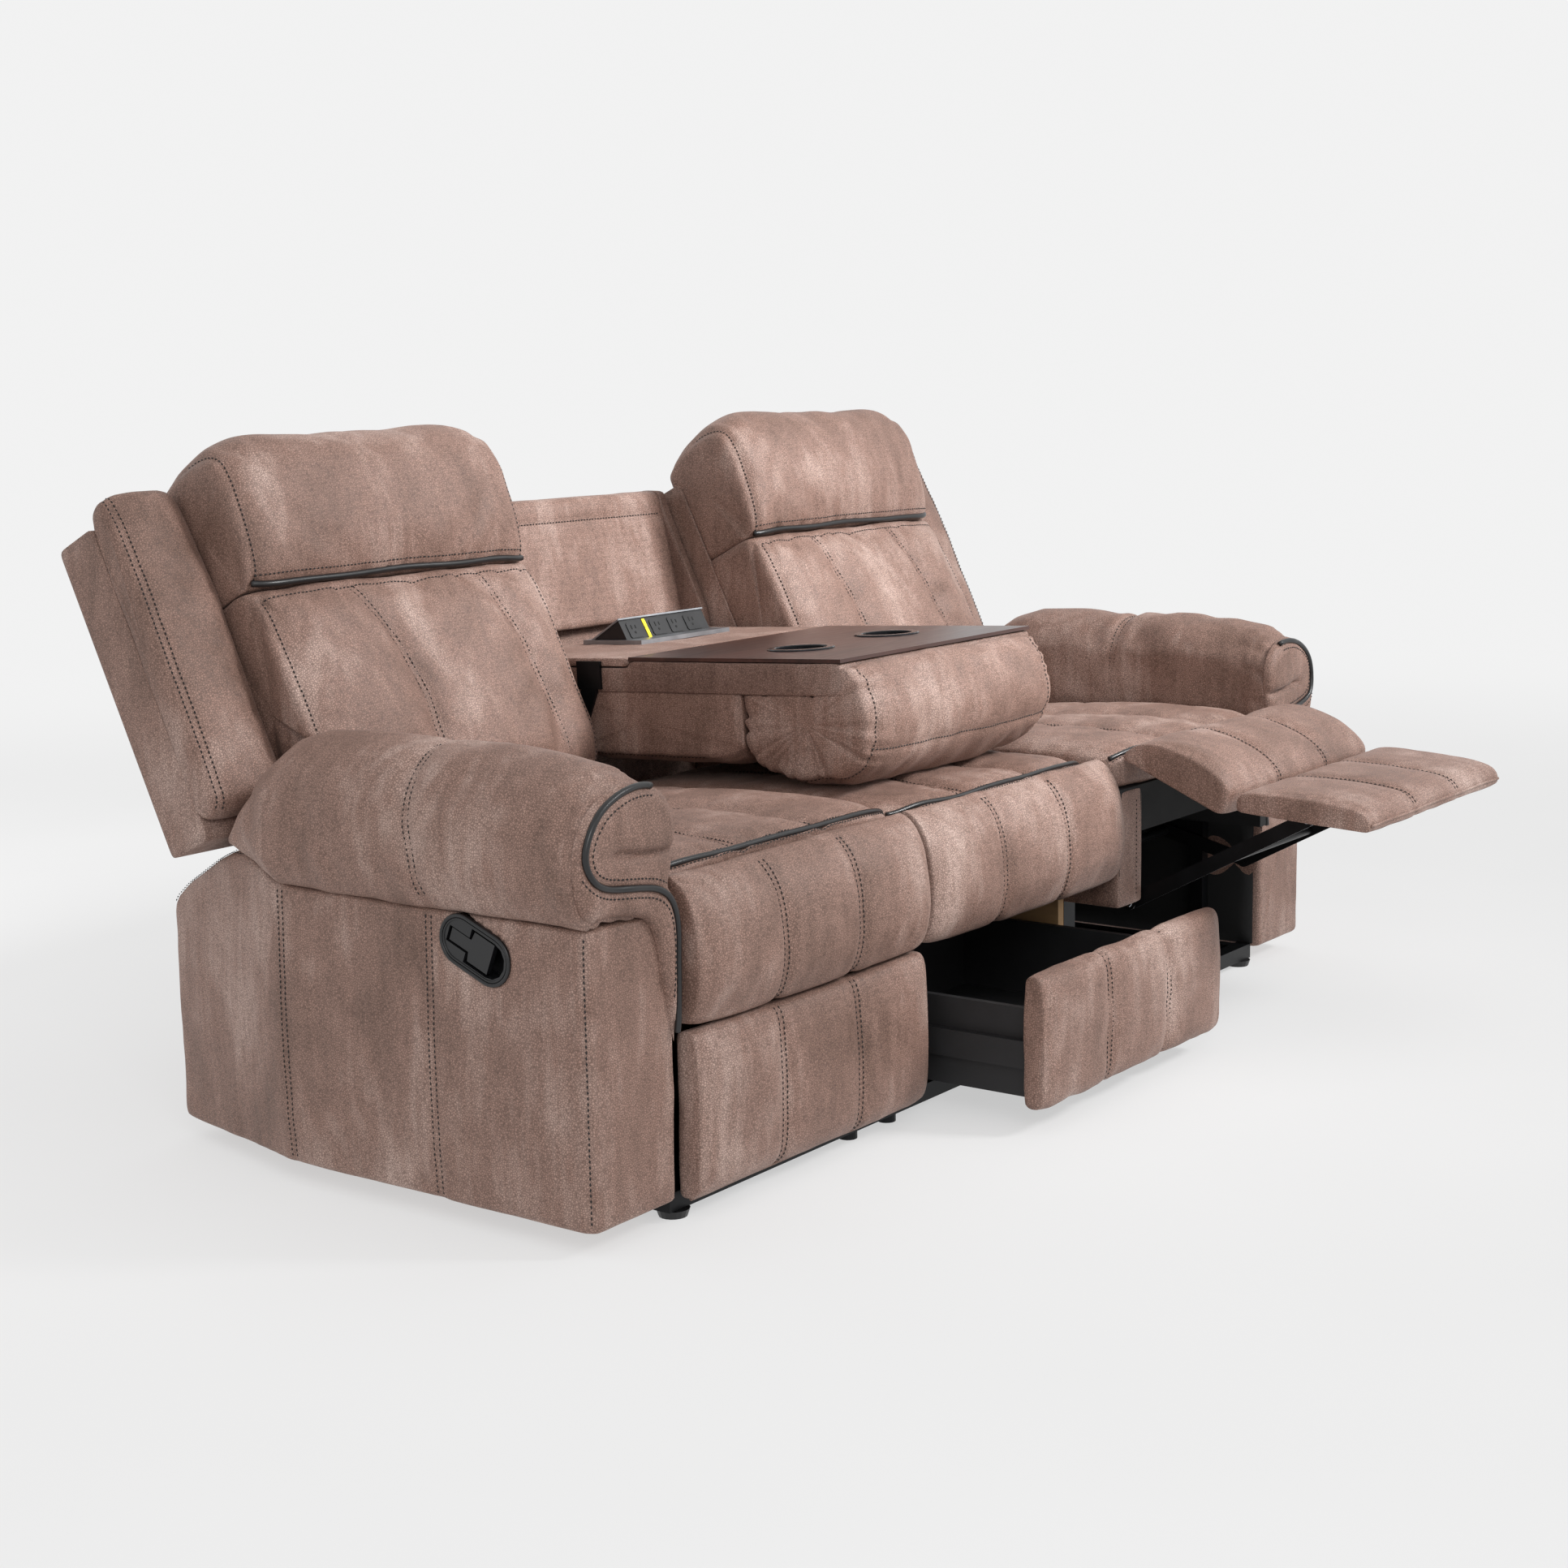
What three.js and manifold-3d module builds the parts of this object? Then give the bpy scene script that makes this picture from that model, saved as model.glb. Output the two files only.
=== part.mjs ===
// Two-seat reclining sofa with a fold-down console between the seats.
// X runs across the sofa, Y from front to back, Z up. Lengths are in millimetres, angles in degrees.
// Places are measured from the middle of the sofa, the front of the arm panels and the floor.
// The group is moved at the end so that its origin is the middle of its floor plan.

import * as THREE from 'three';
import { mergeVertices } from 'three/addons/utils/BufferGeometryUtils.js';
import Module from 'manifold-3d';

const wasm = await Module();
wasm.setup();

// Clearances and cuts
const gap = 0.3;
const linkGap = 0.5;
const overrun = 3;

// Widths, from the middle outwards
const centreHalfWidth = 314;
const unitGap = 5;
const reclinerWidth = 598;
const armGap = 6;
const armWidth = 182;
const reclinerInner = centreHalfWidth + unitGap;
const reclinerOuter = reclinerInner + reclinerWidth;
const armInner = reclinerOuter + armGap;
const armOuter = armInner + armWidth;

// Depth of the seats, which places all that stands behind them
const seatFront = 45;
const seatCushionDepth = 656;
const seatEnd = seatFront + seatCushionDepth;

// Feet and floor rails
const footHeight = 12;
const footRadius = 21;
const footFlare = 4;
const footInset = 26;
const railHeight = 28;
const frontRailStart = 30;
const frontRailDepth = 30;
const rearRailStart = seatEnd + 149;
const rearRailDepth = 40;
const rearPanelHeight = 345;
const rearPanelThickness = 18;
const glideRadius = 15;
const glideSpots = [353, 461];
const railTop = footHeight + railHeight;

// Arm box
const armPanelThickness = 12;
const armDepth = seatEnd + 234;
const armBottom = 33;
const armHeight = 424;
const armTop = armBottom + armHeight;
const shoulderStart = armDepth - 335;
const shoulderPeak = armDepth - 215;
const shoulderRise = 48;
const armRearDrop = 64;
const taperStart = armDepth - 333;
const taperDepth = 79;

// Rolled arm pad
const rollLength = armDepth - 242;
const rollHeight = 224;
const rollInnerLean = 5;
const rollOverhang = 25;
const rollSectionShares = [
  [0.09, 0], [0.87, 0], [1.03, 0.1, 1, 0.45], [0.98, 0.86, 0.5, 1],
  [0.03, 0.97, 0, 0.6], [-0.01, 0.3, 0.05, 0.14],
];
const rollStationShares = [
  [0, 0.83], [0.06, 0.92], [0.16, 0.965], [0.34, 1], [0.45, 0.99], [0.48, 0.965], [0.51, 0.99], [0.64, 1],
  [0.79, 0.975], [0.87, 0.9], [0.93, 0.76], [0.97, 0.58], [1, 0.36],
];

// Scroll panel on the arm's front, as shares of its width and height
const scrollInnerGap = 1.5;
const scrollBottom = 268;
const scrollTopShare = 0.84;
const scrollShares = [
  [0.03, 0], [0.16, 0.27], [0.18, 0.44, 0.32, 0.49], [0.6, 0.54, 0.86, 0.53], [1.01, 0.57, 1, 0.75],
  [0.97, 0.95, 0.5, 1], [0.06, 0.99, 0.02, 0.82], [0.04, 0.66, 0.1, 0.6], [0, 0.52, 0, 0.4],
];

// Release lever in its bezel, set in the arm's outer side
const leverPlace = [211, 408];
const leverTilt = 22;
const bezelLength = 135;
const bezelWidth = 75;
const bezelThickness = 4;
const bezelRim = 8;
const pocketDepth = 26;
const pocketFloor = 2;
const pocketWall = 3;
const paddleLength = 41;
const paddleWidth = 46;
const paddleThickness = 9;
const neckLength = 36;
const neckWidth = 19;
const leverGap = 2.5;
const leverPinRadius = 3.5;
const leverPinSide = 0.6;

// Seat frame
const seatDepth = seatCushionDepth + 59;
const seatFloor = 285;
const seatRailHeight = 140;
const deckThickness = 15;
const innerRailWidth = 80;
const outerRailWidth = 25;
const crossRailStart = 110;
const crossRailDepth = 25;
const crossRailHeight = 95;
const rearCrossDepth = 60;
const deckBottom = seatFloor + seatRailHeight;
const deckTop = deckBottom + deckThickness;

// Base under each seat
const baseBarHeight = 22;
const baseBarWidth = 40;
const baseBarInset = 21;
const outerBaseWidth = 24;
const legDepth = 30;
const frontLegStart = 120;
const rearLegStart = seatEnd + 69;
const rearLegDepth = 60;
const floorBarDepthEnd = 0.3;
const crossBarHeight = 25;
const crossBarLift = 35;
const uprightThickness = 12;
const uprightDepth = 30;

// Back pivot and the leaning frame of each back
const backPivot = [seatEnd + 99, 430];
const backPinRadius = 6;
const earThickness = 10;
const earWidth = 30;
const earTail = 14;
const backFoot = [seatEnd + 131, 470];
const backLean = 26;
const backFrameHeight = 509;
const backFrameThickness = 88;
const backInset = 3;
const wingWidth = 150;
const wingDepth = 57;
const wingBottom = 18;
const wingHeight = 540;
const lumbarDepth = 141;
const lumbarDrop = 55;
const lumbarNotch = 90;
const lumbarArmGap = 2;
const pillowSeam = backFrameHeight - 165;
const pillowTop = backFrameHeight + 100;
const pillowDepth = 157;

// Cushions
const seatCushionHeight = 72;
const centreCushionHeight = 66;
const cushionLead = 1;
const seatCushionDraw = 22;
const backCushionDraw = 34;
const pillowDraw = 34;
const wingDraw = 20;
const chaiseDraw = 12;
const footrestDraw = 9;
const consoleDraw = 20;
const crownShares = [
  [0, 1], [0.012, 0.6], [0.04, 0.3], [0.12, 0.1], [0.25, 0.02], [0.5, 0],
  [0.75, 0.02], [0.88, 0.1], [0.96, 0.3], [0.988, 0.6], [1, 1],
];
const channelledShares = [
  [0, 1], [0.015, 0.6], [0.05, 0.3], [0.17, 0.06], [0.31, 0.04], [0.335, 0.26], [0.36, 0.04],
  [0.5, 0], [0.64, 0.04], [0.665, 0.26], [0.69, 0.04], [0.83, 0.06], [0.95, 0.3], [0.985, 0.6], [1, 1],
];
const seatSideShares = [
  [0.01, 0], [1, 0], [1, 0.42], [0.98, 0.56, 0.85, 0.67], [0.65, 0.84, 0.45, 0.95],
  [0.2, 1.06, 0.03, 0.93], [0, 0.9, 0, 0.8], [0, 0.07],
];
const lumbarSideShares = [
  [0, 0.1], [0.1, 0, 0.45, 0], [0.95, 0.02, 1, 0.2], [0.98, 0.6, 0.6, 1], [0, 1],
];
const wingSideShares = [
  [0, 0.015], [0.5, 0, 0.9, 0.05], [1.02, 0.3, 1, 0.6], [1, 0.9, 0.7, 0.98], [0.4, 1, 0, 0.96],
];
const pillowFrontShares = [
  [0, 0], [0.54, 0], [0.97, 0.03, 0.99, 0.31], [1.05, 0.62, 1, 0.86],
  [0.95, 1, 0.56, 1], [0.1, 0.99, -0.244, 0.8],
];
const pillowOverhangShare = 0.28;

// Chaise and footrest pads
const pipingHeight = 58;
const chaiseHeight = 220.7;
const chaiseDepth = 73;
const padInset = 1;
const padOuterInset = 12;
const padGap = 2.3;
const footrestHinge = [56, 1.5];
const footrestSetBack = 20;
const footrestHeight = 246;
const footrestDepth = 46;
const chaiseSideShares = [
  [0, 0], [0.5, 0], [0.93, 0, 1, 0.33], [1, 0.8, 0.46, 0.945], [0.25, 1, 0, 1],
];
const footrestSideShares = [
  [0, 0], [0.35, 0], [0.9, 0, 0.95, 0.2], [1.05, 0.5, 0.9, 0.85], [0.85, 1, 0.6, 1], [0, 1],
];

// Footrest linkage and how far it opens
const chaiseOpening = 66;
const footrestOpening = 20;
const seatSlide = 50;
const linkWidth = 26;
const linkThickness = 5;
const linkRootPlace = [260, 10];
const lowerLinkLength = 239;
const upperLinkLength = 390;
const linkTipDrop = 92;
const linkPinRadius = 5;
const linkTubeRadius = 8;
const linkTubeShare = 0.4;
const lowerTubeShare = 0.25;
const hangerWidth = 60;
const hangerDrop = 25;
const bracketHeight = 170;
const bracketDepth = 6;

// Centre seat box, its pad and the drawer under it
const centrePanelThickness = 19;
const centrePanelStart = 106;
const centrePanelDepth = seatCushionDepth - 2;
const centreDeckEnd = seatEnd + 27;
const apronDepth = 26;
const apronHeight = 140;
const drawerPull = 203;
const drawerFrontHeight = 222;
const drawerFrontBottom = 37;
const drawerFrontThickness = 38;
const drawerFrontLead = 14;
const drawerFrontSide = 15;
const drawerBoxBottom = 52;
const drawerBoxHeight = 143;
const drawerBoxDepth = 476;
const drawerWall = 12;
const slideThickness = 10.4;
const runnerThickness = 12;
const slideHeight = 45;
const slideLift = 48;
const slideStart = 110;
const slideLength = 450;

// Fixed centre back
const recessBottom = [seatEnd + 254, 712];
const recessTop = [seatEnd + 309, 942];
const flangeBottom = [seatEnd + 204, 722];
const flangeTop = [seatEnd + 299, 921];
const flangeThickness = 17;
const centreBackTop = 953;
const centreBackRear = seatEnd + 359;
const postFoot = seatEnd + 151;
const outerSheetThickness = 12;
const outerSheetFoot = [seatEnd + 183, 45];
const outerSheetWaist = [seatEnd + 271, 590];

// Fold-down console, in its own frame at the pivot with the table level
const consolePivot = [seatEnd + 11, 590];
const consoleTilt = 2.63;
const consoleSideGap = 20;
const consoleHalfWidth = centreHalfWidth - consoleSideGap;
const cushionSideInset = 2;
const tableHeight = 112;
const tableThickness = 6;
const boardThickness = 55;
const tableFront = 553;
const tableRear = 112;
const boardRear = 67;
const ledgeRear = 208;
const ledgeThickness = 18;
const cupSpread = 130;
const cupPlace = 357;
const cupRadius = 46;
const cupRimRadius = 58;
const cupDepth = 66;
const cupWall = 2;
const cupRimHeight = 3;
const cupSides = 24;
const underCushionFront = 350;
const underCushionRear = 77;
const underCushionDepth = 69;
const consolePillowFront = 607;
const consolePillowBottom = 101;
const consolePillowTop = 104;
const underCushionShares = [
  [0, 0.4], [0, 1], [1, 1], [1, 0.08], [0.98, 0, 0.9, 0], [0.3, 0, 0.22, 0.05], [0.1, 0.15, 0, 0.36],
];
const consolePillowShares = [
  [0, 0.5], [0.12, 0.1, 0.3, 0.07], [0.5, -0.06, 0.75, 0.06], [1, 0.2, 1, 0.5], [1, 0.85, 0.83, 1],
];

// Console hinge plates and their mount
const hingePlateThickness = 5.6;
const hingeBossRadius = 16;
const hingePlateReach = 52;
const hingePlateTop = 105;
const hingePinRadius = 6;
const mountPlateStart = seatEnd + 2;
const mountPlateDepth = 32;
const mountBarHeight = 12;

// Flip-up outlet in the ledge
const outletLeft = -85;
const outletRight = 175;
const outletFront = 30;
const outletRear = 168;
const outletRimHeight = 8;
const outletRimWidth = 8;
const outletHinge = [154, 116];
const outletLidEdge = [88.5, 154];
const outletFoot = [68, 115];
const outletSideGap = 0.6;
const outletWellFront = 64;

// Finishes
const leather = new THREE.MeshStandardMaterial({ color: 0x8a7062, roughness: 0.62, metalness: 0 });
const leatherShade = new THREE.MeshStandardMaterial({ color: 0x7b6256, roughness: 0.66, metalness: 0 });
const blackSteel = new THREE.MeshStandardMaterial({ color: 0x17181a, roughness: 0.45, metalness: 0.8 });
const chromeSteel = new THREE.MeshStandardMaterial({ color: 0xb9bcc0, roughness: 0.25, metalness: 1 });
const blackPlastic = new THREE.MeshStandardMaterial({ color: 0x1f2022, roughness: 0.55, metalness: 0 });
const darkLaminate = new THREE.MeshStandardMaterial({ color: 0x33241d, roughness: 0.35, metalness: 0 });
const plywood = new THREE.MeshStandardMaterial({ color: 0xb08a5c, roughness: 0.8, metalness: 0 });
const silverPlastic = new THREE.MeshStandardMaterial({ color: 0xa9abad, roughness: 0.35, metalness: 0.6 });
const drawerBlack = new THREE.MeshStandardMaterial({ color: 0x1a1a1b, roughness: 0.7, metalness: 0 });

// Solids from three.js geometry
const radians = THREE.MathUtils.degToRad;

function solid(geometry) {
  const plain = geometry.clone();
  plain.deleteAttribute('normal');
  plain.deleteAttribute('uv');
  const welded = mergeVertices(plain);
  return new wasm.Manifold(new wasm.Mesh({
    numProp: 3,
    vertProperties: Float32Array.from(welded.attributes.position.array),
    triVerts: Uint32Array.from(welded.index.array),
  }));
}

function surface(body) {
  const mesh = body.getMesh();
  const geometry = new THREE.BufferGeometry();
  geometry.setAttribute('position', new THREE.BufferAttribute(Float32Array.from(mesh.vertProperties), 3));
  geometry.setIndex(new THREE.BufferAttribute(Uint32Array.from(mesh.triVerts), 1));
  geometry.computeVertexNormals();
  return geometry;
}

function join(...bodies) {
  return bodies.reduce((whole, body) => whole.add(body));
}

function cut(body, ...tools) {
  return tools.reduce((rest, tool) => rest.subtract(tool), body);
}

function mirrored(geometry) {
  const other = geometry.clone();
  other.scale(-1, 1, 1);
  const index = other.index.array;
  for (let corner = 0; corner < index.length; corner += 3) {
    [index[corner], index[corner + 1]] = [index[corner + 1], index[corner]];
  }
  other.computeVertexNormals();
  return other;
}

function extruded(points, depth) {
  const shape = new THREE.Shape(points.map(([a, b]) => new THREE.Vector2(a, b)));
  return new THREE.ExtrudeGeometry(shape, { depth, bevelEnabled: false });
}

const acrossSofa = new THREE.Matrix4().makeBasis(
  new THREE.Vector3(0, 1, 0), new THREE.Vector3(0, 0, 1), new THREE.Vector3(1, 0, 0),
);
const frontToBack = new THREE.Matrix4().makeBasis(
  new THREE.Vector3(1, 0, 0), new THREE.Vector3(0, 0, 1), new THREE.Vector3(0, -1, 0),
);

// A side outline of (y, z) points pushed across the sofa from x0 to x1
function sideSlab(points, x0, x1) {
  return solid(extruded(points, x1 - x0).applyMatrix4(acrossSofa).translate(x0, 0, 0));
}

// A front outline of (x, z) points pushed from y0 back to y1
function frontSlab(points, y0, y1) {
  return solid(extruded(points, y1 - y0).applyMatrix4(frontToBack).translate(0, y1, 0));
}

// A floor plan of (x, y) points raised from z0 to z1
function planSlab(points, z0, z1) {
  return solid(extruded(points, z1 - z0).translate(0, 0, z0));
}

function block(x0, x1, y0, y1, z0, z1) {
  const box = new THREE.BoxGeometry(x1 - x0, y1 - y0, z1 - z0);
  return solid(box.translate((x0 + x1) / 2, (y0 + y1) / 2, (z0 + z1) / 2));
}

function rod(radius, x0, x1, [y, z], sides = 14) {
  const round = new THREE.CylinderGeometry(radius, radius, x1 - x0, sides).rotateZ(Math.PI / 2);
  return solid(round.translate((x0 + x1) / 2, y, z));
}

function standing(bottomRadius, topRadius, x, y, z0, z1, sides = 18) {
  const round = new THREE.CylinderGeometry(topRadius, bottomRadius, z1 - z0, sides).rotateX(Math.PI / 2);
  return solid(round.translate(x, y, (z0 + z1) / 2));
}

// Closed outline from a table: the first row is its start, rows of two are straight, rows of four are curves
function outline(shares, place, steps = 4) {
  const path = new THREE.Path();
  shares.forEach((row, order) => {
    const spots = [];
    for (let item = 0; item < row.length; item += 2) {
      spots.push(...place(row[item], row[item + 1]));
    }
    if (order === 0) {
      path.moveTo(...spots);
    } else if (spots.length === 2) {
      path.lineTo(...spots);
    } else {
      path.quadraticCurveTo(...spots);
    }
  });
  return path.getPoints(steps).map((point) => [point.x, point.y]);
}

// A flat strap with round ends between two (y, z) places
function strap(from, to, radius, steps = 6) {
  const heading = Math.atan2(to[1] - from[1], to[0] - from[0]);
  const points = [];
  for (const [centre, start] of [[to, heading - Math.PI / 2], [from, heading + Math.PI / 2]]) {
    for (let step = 0; step <= steps; step += 1) {
      const angle = start + (Math.PI * step) / steps;
      points.push([centre[0] + radius * Math.cos(angle), centre[1] + radius * Math.sin(angle)]);
    }
  }
  return points;
}

function ringArea(points) {
  return points.reduce((sum, [a, b], item) => {
    const [c, d] = points[(item + 1) % points.length];
    return sum + (a * d - b * c) / 2;
  }, 0);
}

// A skin over equal rings of section points, closed by a flat face at each end
function loft(rings, place) {
  const count = rings[0].points.length;
  const positions = rings.flatMap(({ at, points }) => points.flatMap(([a, b]) => place(at, a, b)));
  const faces = [];
  for (let ring = 0; ring + 1 < rings.length; ring += 1) {
    for (let item = 0; item < count; item += 1) {
      const next = (item + 1) % count;
      const [a, b] = [ring * count + item, ring * count + next];
      faces.push([a, b, a + count], [b, b + count, a + count]);
    }
  }
  for (const [ring, side] of [[0, -1], [rings.length - 1, 1]]) {
    const { points } = rings[ring];
    const contour = points.map(([a, b]) => new THREE.Vector2(a, b));
    const wanted = side * Math.sign(ringArea(points));
    for (const face of THREE.ShapeUtils.triangulateShape(contour, [])) {
      const facing = Math.sign(ringArea(face.map((item) => points[item])));
      const ordered = facing === wanted ? face : [...face].reverse();
      faces.push(ordered.map((item) => ring * count + item));
    }
  }
  const corner = (item) => new THREE.Vector3(...positions.slice(3 * item, 3 * item + 3));
  const volume = faces.reduce((sum, [a, b, c]) => sum + corner(a).dot(corner(b).cross(corner(c))), 0);
  const index = volume < 0 ? faces.flatMap(([a, b, c]) => [a, c, b]) : faces.flat();
  const geometry = new THREE.BufferGeometry();
  geometry.setAttribute('position', new THREE.Float32BufferAttribute(positions, 3));
  geometry.setIndex(index);
  geometry.computeVertexNormals();
  return geometry;
}

// A cushion: one section along its width, drawn in towards the anchor at its ends and channels
function cushion(section, anchor, from, to, draw, shares, place) {
  const reach = [0, 1].map((axis) => (
    Math.max(...section.map((point) => Math.abs(point[axis] - anchor[axis])))
  ));
  const rings = shares.map(([along, drawShare]) => {
    const size = reach.map((length) => 1 - (draw * drawShare) / length);
    const points = section.map((point) => (
      point.map((value, axis) => anchor[axis] + (value - anchor[axis]) * size[axis])
    ));
    return { at: from + along * (to - from), points };
  });
  return loft(rings, place);
}

const inSidePlane = (x, y, z) => [x, y, z];

function piece(name, body, material) {
  const geometry = body.isBufferGeometry ? body : surface(body);
  const mesh = new THREE.Mesh(geometry, material);
  mesh.name = name;
  return mesh;
}

// Both copies of a piece that is drawn on the right-hand side
function sidePiece(side, name, body, material) {
  const geometry = body.isBufferGeometry ? body : surface(body);
  return piece(`${side}_${name}`, side === 'left' ? mirrored(geometry) : geometry, material);
}

// A group turned about a crosswise axis through a (y, z) place; opening turns are positive
function turned([y, z], degrees, ...members) {
  const inner = new THREE.Group();
  inner.position.set(0, -y, -z);
  inner.add(...members);
  const outer = new THREE.Group();
  outer.position.set(0, y, z);
  outer.rotation.x = -radians(degrees);
  outer.add(inner);
  return outer;
}

function turnedPlace([y, z], [aboutY, aboutZ], degrees) {
  const [c, s] = [Math.cos(radians(degrees)), Math.sin(radians(degrees))];
  const [dy, dz] = [y - aboutY, z - aboutZ];
  return [aboutY + dy * c + dz * s, aboutZ - dy * s + dz * c];
}

// Floor rails and feet
function frontRail() {
  const end = armInner - gap;
  const bar = block(-end, end, frontRailStart, frontRailStart + frontRailDepth, footHeight, railTop);
  const glides = glideSpots.flatMap((x) => [-x, x]).map((x) => (
    standing(glideRadius, glideRadius, x, frontRailStart + frontRailDepth / 2, 0, footHeight + gap)
  ));
  return join(bar, ...glides);
}

function rearRail() {
  const end = armInner - gap;
  const bar = block(-end, end, rearRailStart, rearRailStart + rearRailDepth, footHeight, railTop);
  const start = rearRailStart + (rearRailDepth - rearPanelThickness) / 2;
  const panels = [[-end, -centreHalfWidth - gap], [centreHalfWidth + gap, end]].map(([x0, x1]) => (
    block(x0, x1, start, start + rearPanelThickness, railTop - gap, railTop + rearPanelHeight)
  ));
  return join(bar, ...panels);
}

function foot(y) {
  return standing(footRadius, footRadius + footFlare, armInner - footInset, y, 0, footHeight - gap);
}

// Arm box: a side outline whose rear outer corner tapers in plan, with a pocket for the lever
function armTopAt(y) {
  if (y <= shoulderStart) return armTop;
  if (y <= shoulderPeak) {
    return armTop + (shoulderRise * (y - shoulderStart)) / (shoulderPeak - shoulderStart);
  }
  const fall = (shoulderRise + armRearDrop) * (y - shoulderPeak);
  return armTop + shoulderRise - fall / (armDepth - shoulderPeak);
}

function taperAt(y) {
  return y <= taperStart ? 0 : (taperDepth * (y - taperStart)) / (armDepth - taperStart);
}

function intoArm(geometry) {
  const tilt = radians(leverTilt);
  const along = new THREE.Vector3(0, -Math.cos(tilt), -Math.sin(tilt));
  const outward = new THREE.Vector3(1, 0, 0);
  const across = new THREE.Vector3().crossVectors(outward, along);
  const place = new THREE.Matrix4().makeBasis(along, across, outward);
  place.setPosition(armOuter, ...leverPlace);
  return solid(geometry.applyMatrix4(place));
}

function stadium(length, width, from, to) {
  const half = (length - width) / 2;
  return intoArm(extruded(strap([-half, 0], [half, 0], width / 2), to - from).translate(0, 0, from));
}

function armFrame() {
  const side = [
    [armPanelThickness + gap, armBottom], [armDepth, armBottom], [armDepth, armTopAt(armDepth)],
    [shoulderPeak, armTopAt(shoulderPeak)], [shoulderStart, armTop], [armPanelThickness + gap, armTop],
  ];
  const corner = planSlab([
    [armOuter, taperStart], [armOuter + overrun, taperStart], [armOuter + overrun, armDepth + overrun],
    [armOuter - taperAt(armDepth + overrun), armDepth + overrun],
  ], armBottom - overrun, armTop + shoulderRise + overrun);
  const [innerLength, innerWidth] = [bezelLength - 2 * bezelRim, bezelWidth - 2 * bezelRim];
  const pocket = stadium(innerLength + gap, innerWidth + gap, -pocketDepth - gap, overrun);
  return cut(sideSlab(side, armInner, armOuter), corner, pocket);
}

function armPad() {
  const start = armPanelThickness + gap;
  const rings = rollStationShares.map(([along, heightShare]) => {
    const y = start + along * rollLength;
    const bottom = armTopAt(y) + gap;
    const inner = armInner + rollInnerLean;
    const width = armOuter + rollOverhang - taperAt(y) - inner;
    const height = armTop + rollHeight * heightShare - bottom;
    const points = outline(rollSectionShares, (a, b) => [inner + a * width, bottom + b * height]);
    return { at: y, points };
  });
  return loft(rings, (y, x, z) => [x, y, z]);
}

function armFrontPanel() {
  const inner = armInner - scrollInnerGap;
  const width = armOuter + rollOverhang - inner;
  const height = armTop + rollHeight * scrollTopShare - scrollBottom;
  const edge = outline(scrollShares, (a, b) => [inner + a * width, scrollBottom + b * height]);
  return frontSlab(edge, 0, armPanelThickness);
}

// The finger well is as wide as the pocket at the front end and narrows to the lever's neck
function leverBezel() {
  const [innerLength, innerWidth] = [bezelLength - 2 * bezelRim, bezelWidth - 2 * bezelRim];
  const plate = stadium(bezelLength, bezelWidth, gap, bezelThickness);
  const cup = stadium(innerLength - gap, innerWidth - gap, -pocketDepth, 2 * gap);
  const wellEnd = innerLength / 2 - pocketWall;
  const wellStart = -leverGap - (innerLength / 2 - neckLength) / 2;
  const half = innerWidth / 2 - pocketWall;
  const wellCentre = wellEnd - half;
  const well = extruded([
    [wellStart, -half], ...strap([wellCentre, 0], [wellCentre, 0], half).slice(0, 7), [wellStart, half],
  ], pocketDepth - pocketFloor + bezelThickness + overrun).translate(0, 0, pocketFloor - pocketDepth);
  const neckHalf = neckWidth / 2 + leverGap;
  const neck = extruded([
    [wellStart - neckLength - leverGap, -neckHalf], [wellStart + overrun, -neckHalf],
    [wellStart + overrun, neckHalf], [wellStart - neckLength - leverGap, neckHalf],
  ], pocketDepth - pocketFloor + bezelThickness + overrun).translate(0, 0, pocketFloor - pocketDepth);
  return cut(join(plate, cup), intoArm(well), intoArm(neck));
}

function leverAxisPlace() {
  const innerLength = bezelLength - 2 * bezelRim;
  return -leverGap - (innerLength / 2 - neckLength) / 2 - neckLength + leverPinRadius;
}

function releaseLever() {
  const shoulder = leverAxisPlace() + neckLength - leverPinRadius + leverGap;
  const start = leverAxisPlace() - leverPinRadius + leverGap / 2;
  const paddle = extruded([
    [start, -neckWidth / 2], [shoulder, -neckWidth / 2], [shoulder + leverGap, -paddleWidth / 2],
    [shoulder + paddleLength, -paddleWidth / 2], [shoulder + paddleLength, paddleWidth / 2],
    [shoulder + leverGap, paddleWidth / 2], [shoulder, neckWidth / 2], [start, neckWidth / 2],
  ], paddleThickness).translate(0, 0, bezelThickness / 2 - paddleThickness);
  const pinHalf = neckWidth / 2 + leverGap - leverPinSide;
  const pin = new THREE.CylinderGeometry(leverPinRadius, leverPinRadius, 2 * pinHalf, 12);
  pin.translate(leverAxisPlace(), 0, bezelThickness / 2 - paddleThickness + leverPinRadius);
  return join(intoArm(paddle), intoArm(pin));
}

// Seat frame with its hanger plates for the footrest links
const linkRoot = [linkRootPlace[0] + seatFront, seatFloor - linkRootPlace[1]];
const seatRear = seatFront + seatDepth;
const seatOuter = reclinerOuter - unitGap;
const innerPlate = reclinerInner + innerRailWidth;
const outerPlate = seatOuter - outerRailWidth;

function linkPlane(layer, width = linkThickness) {
  const inner = innerPlate + layer * (linkThickness + linkGap);
  const outer = outerPlate - layer * (linkThickness + linkGap);
  return { inner: [inner, inner + width], outer: [outer - width, outer] };
}

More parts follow.
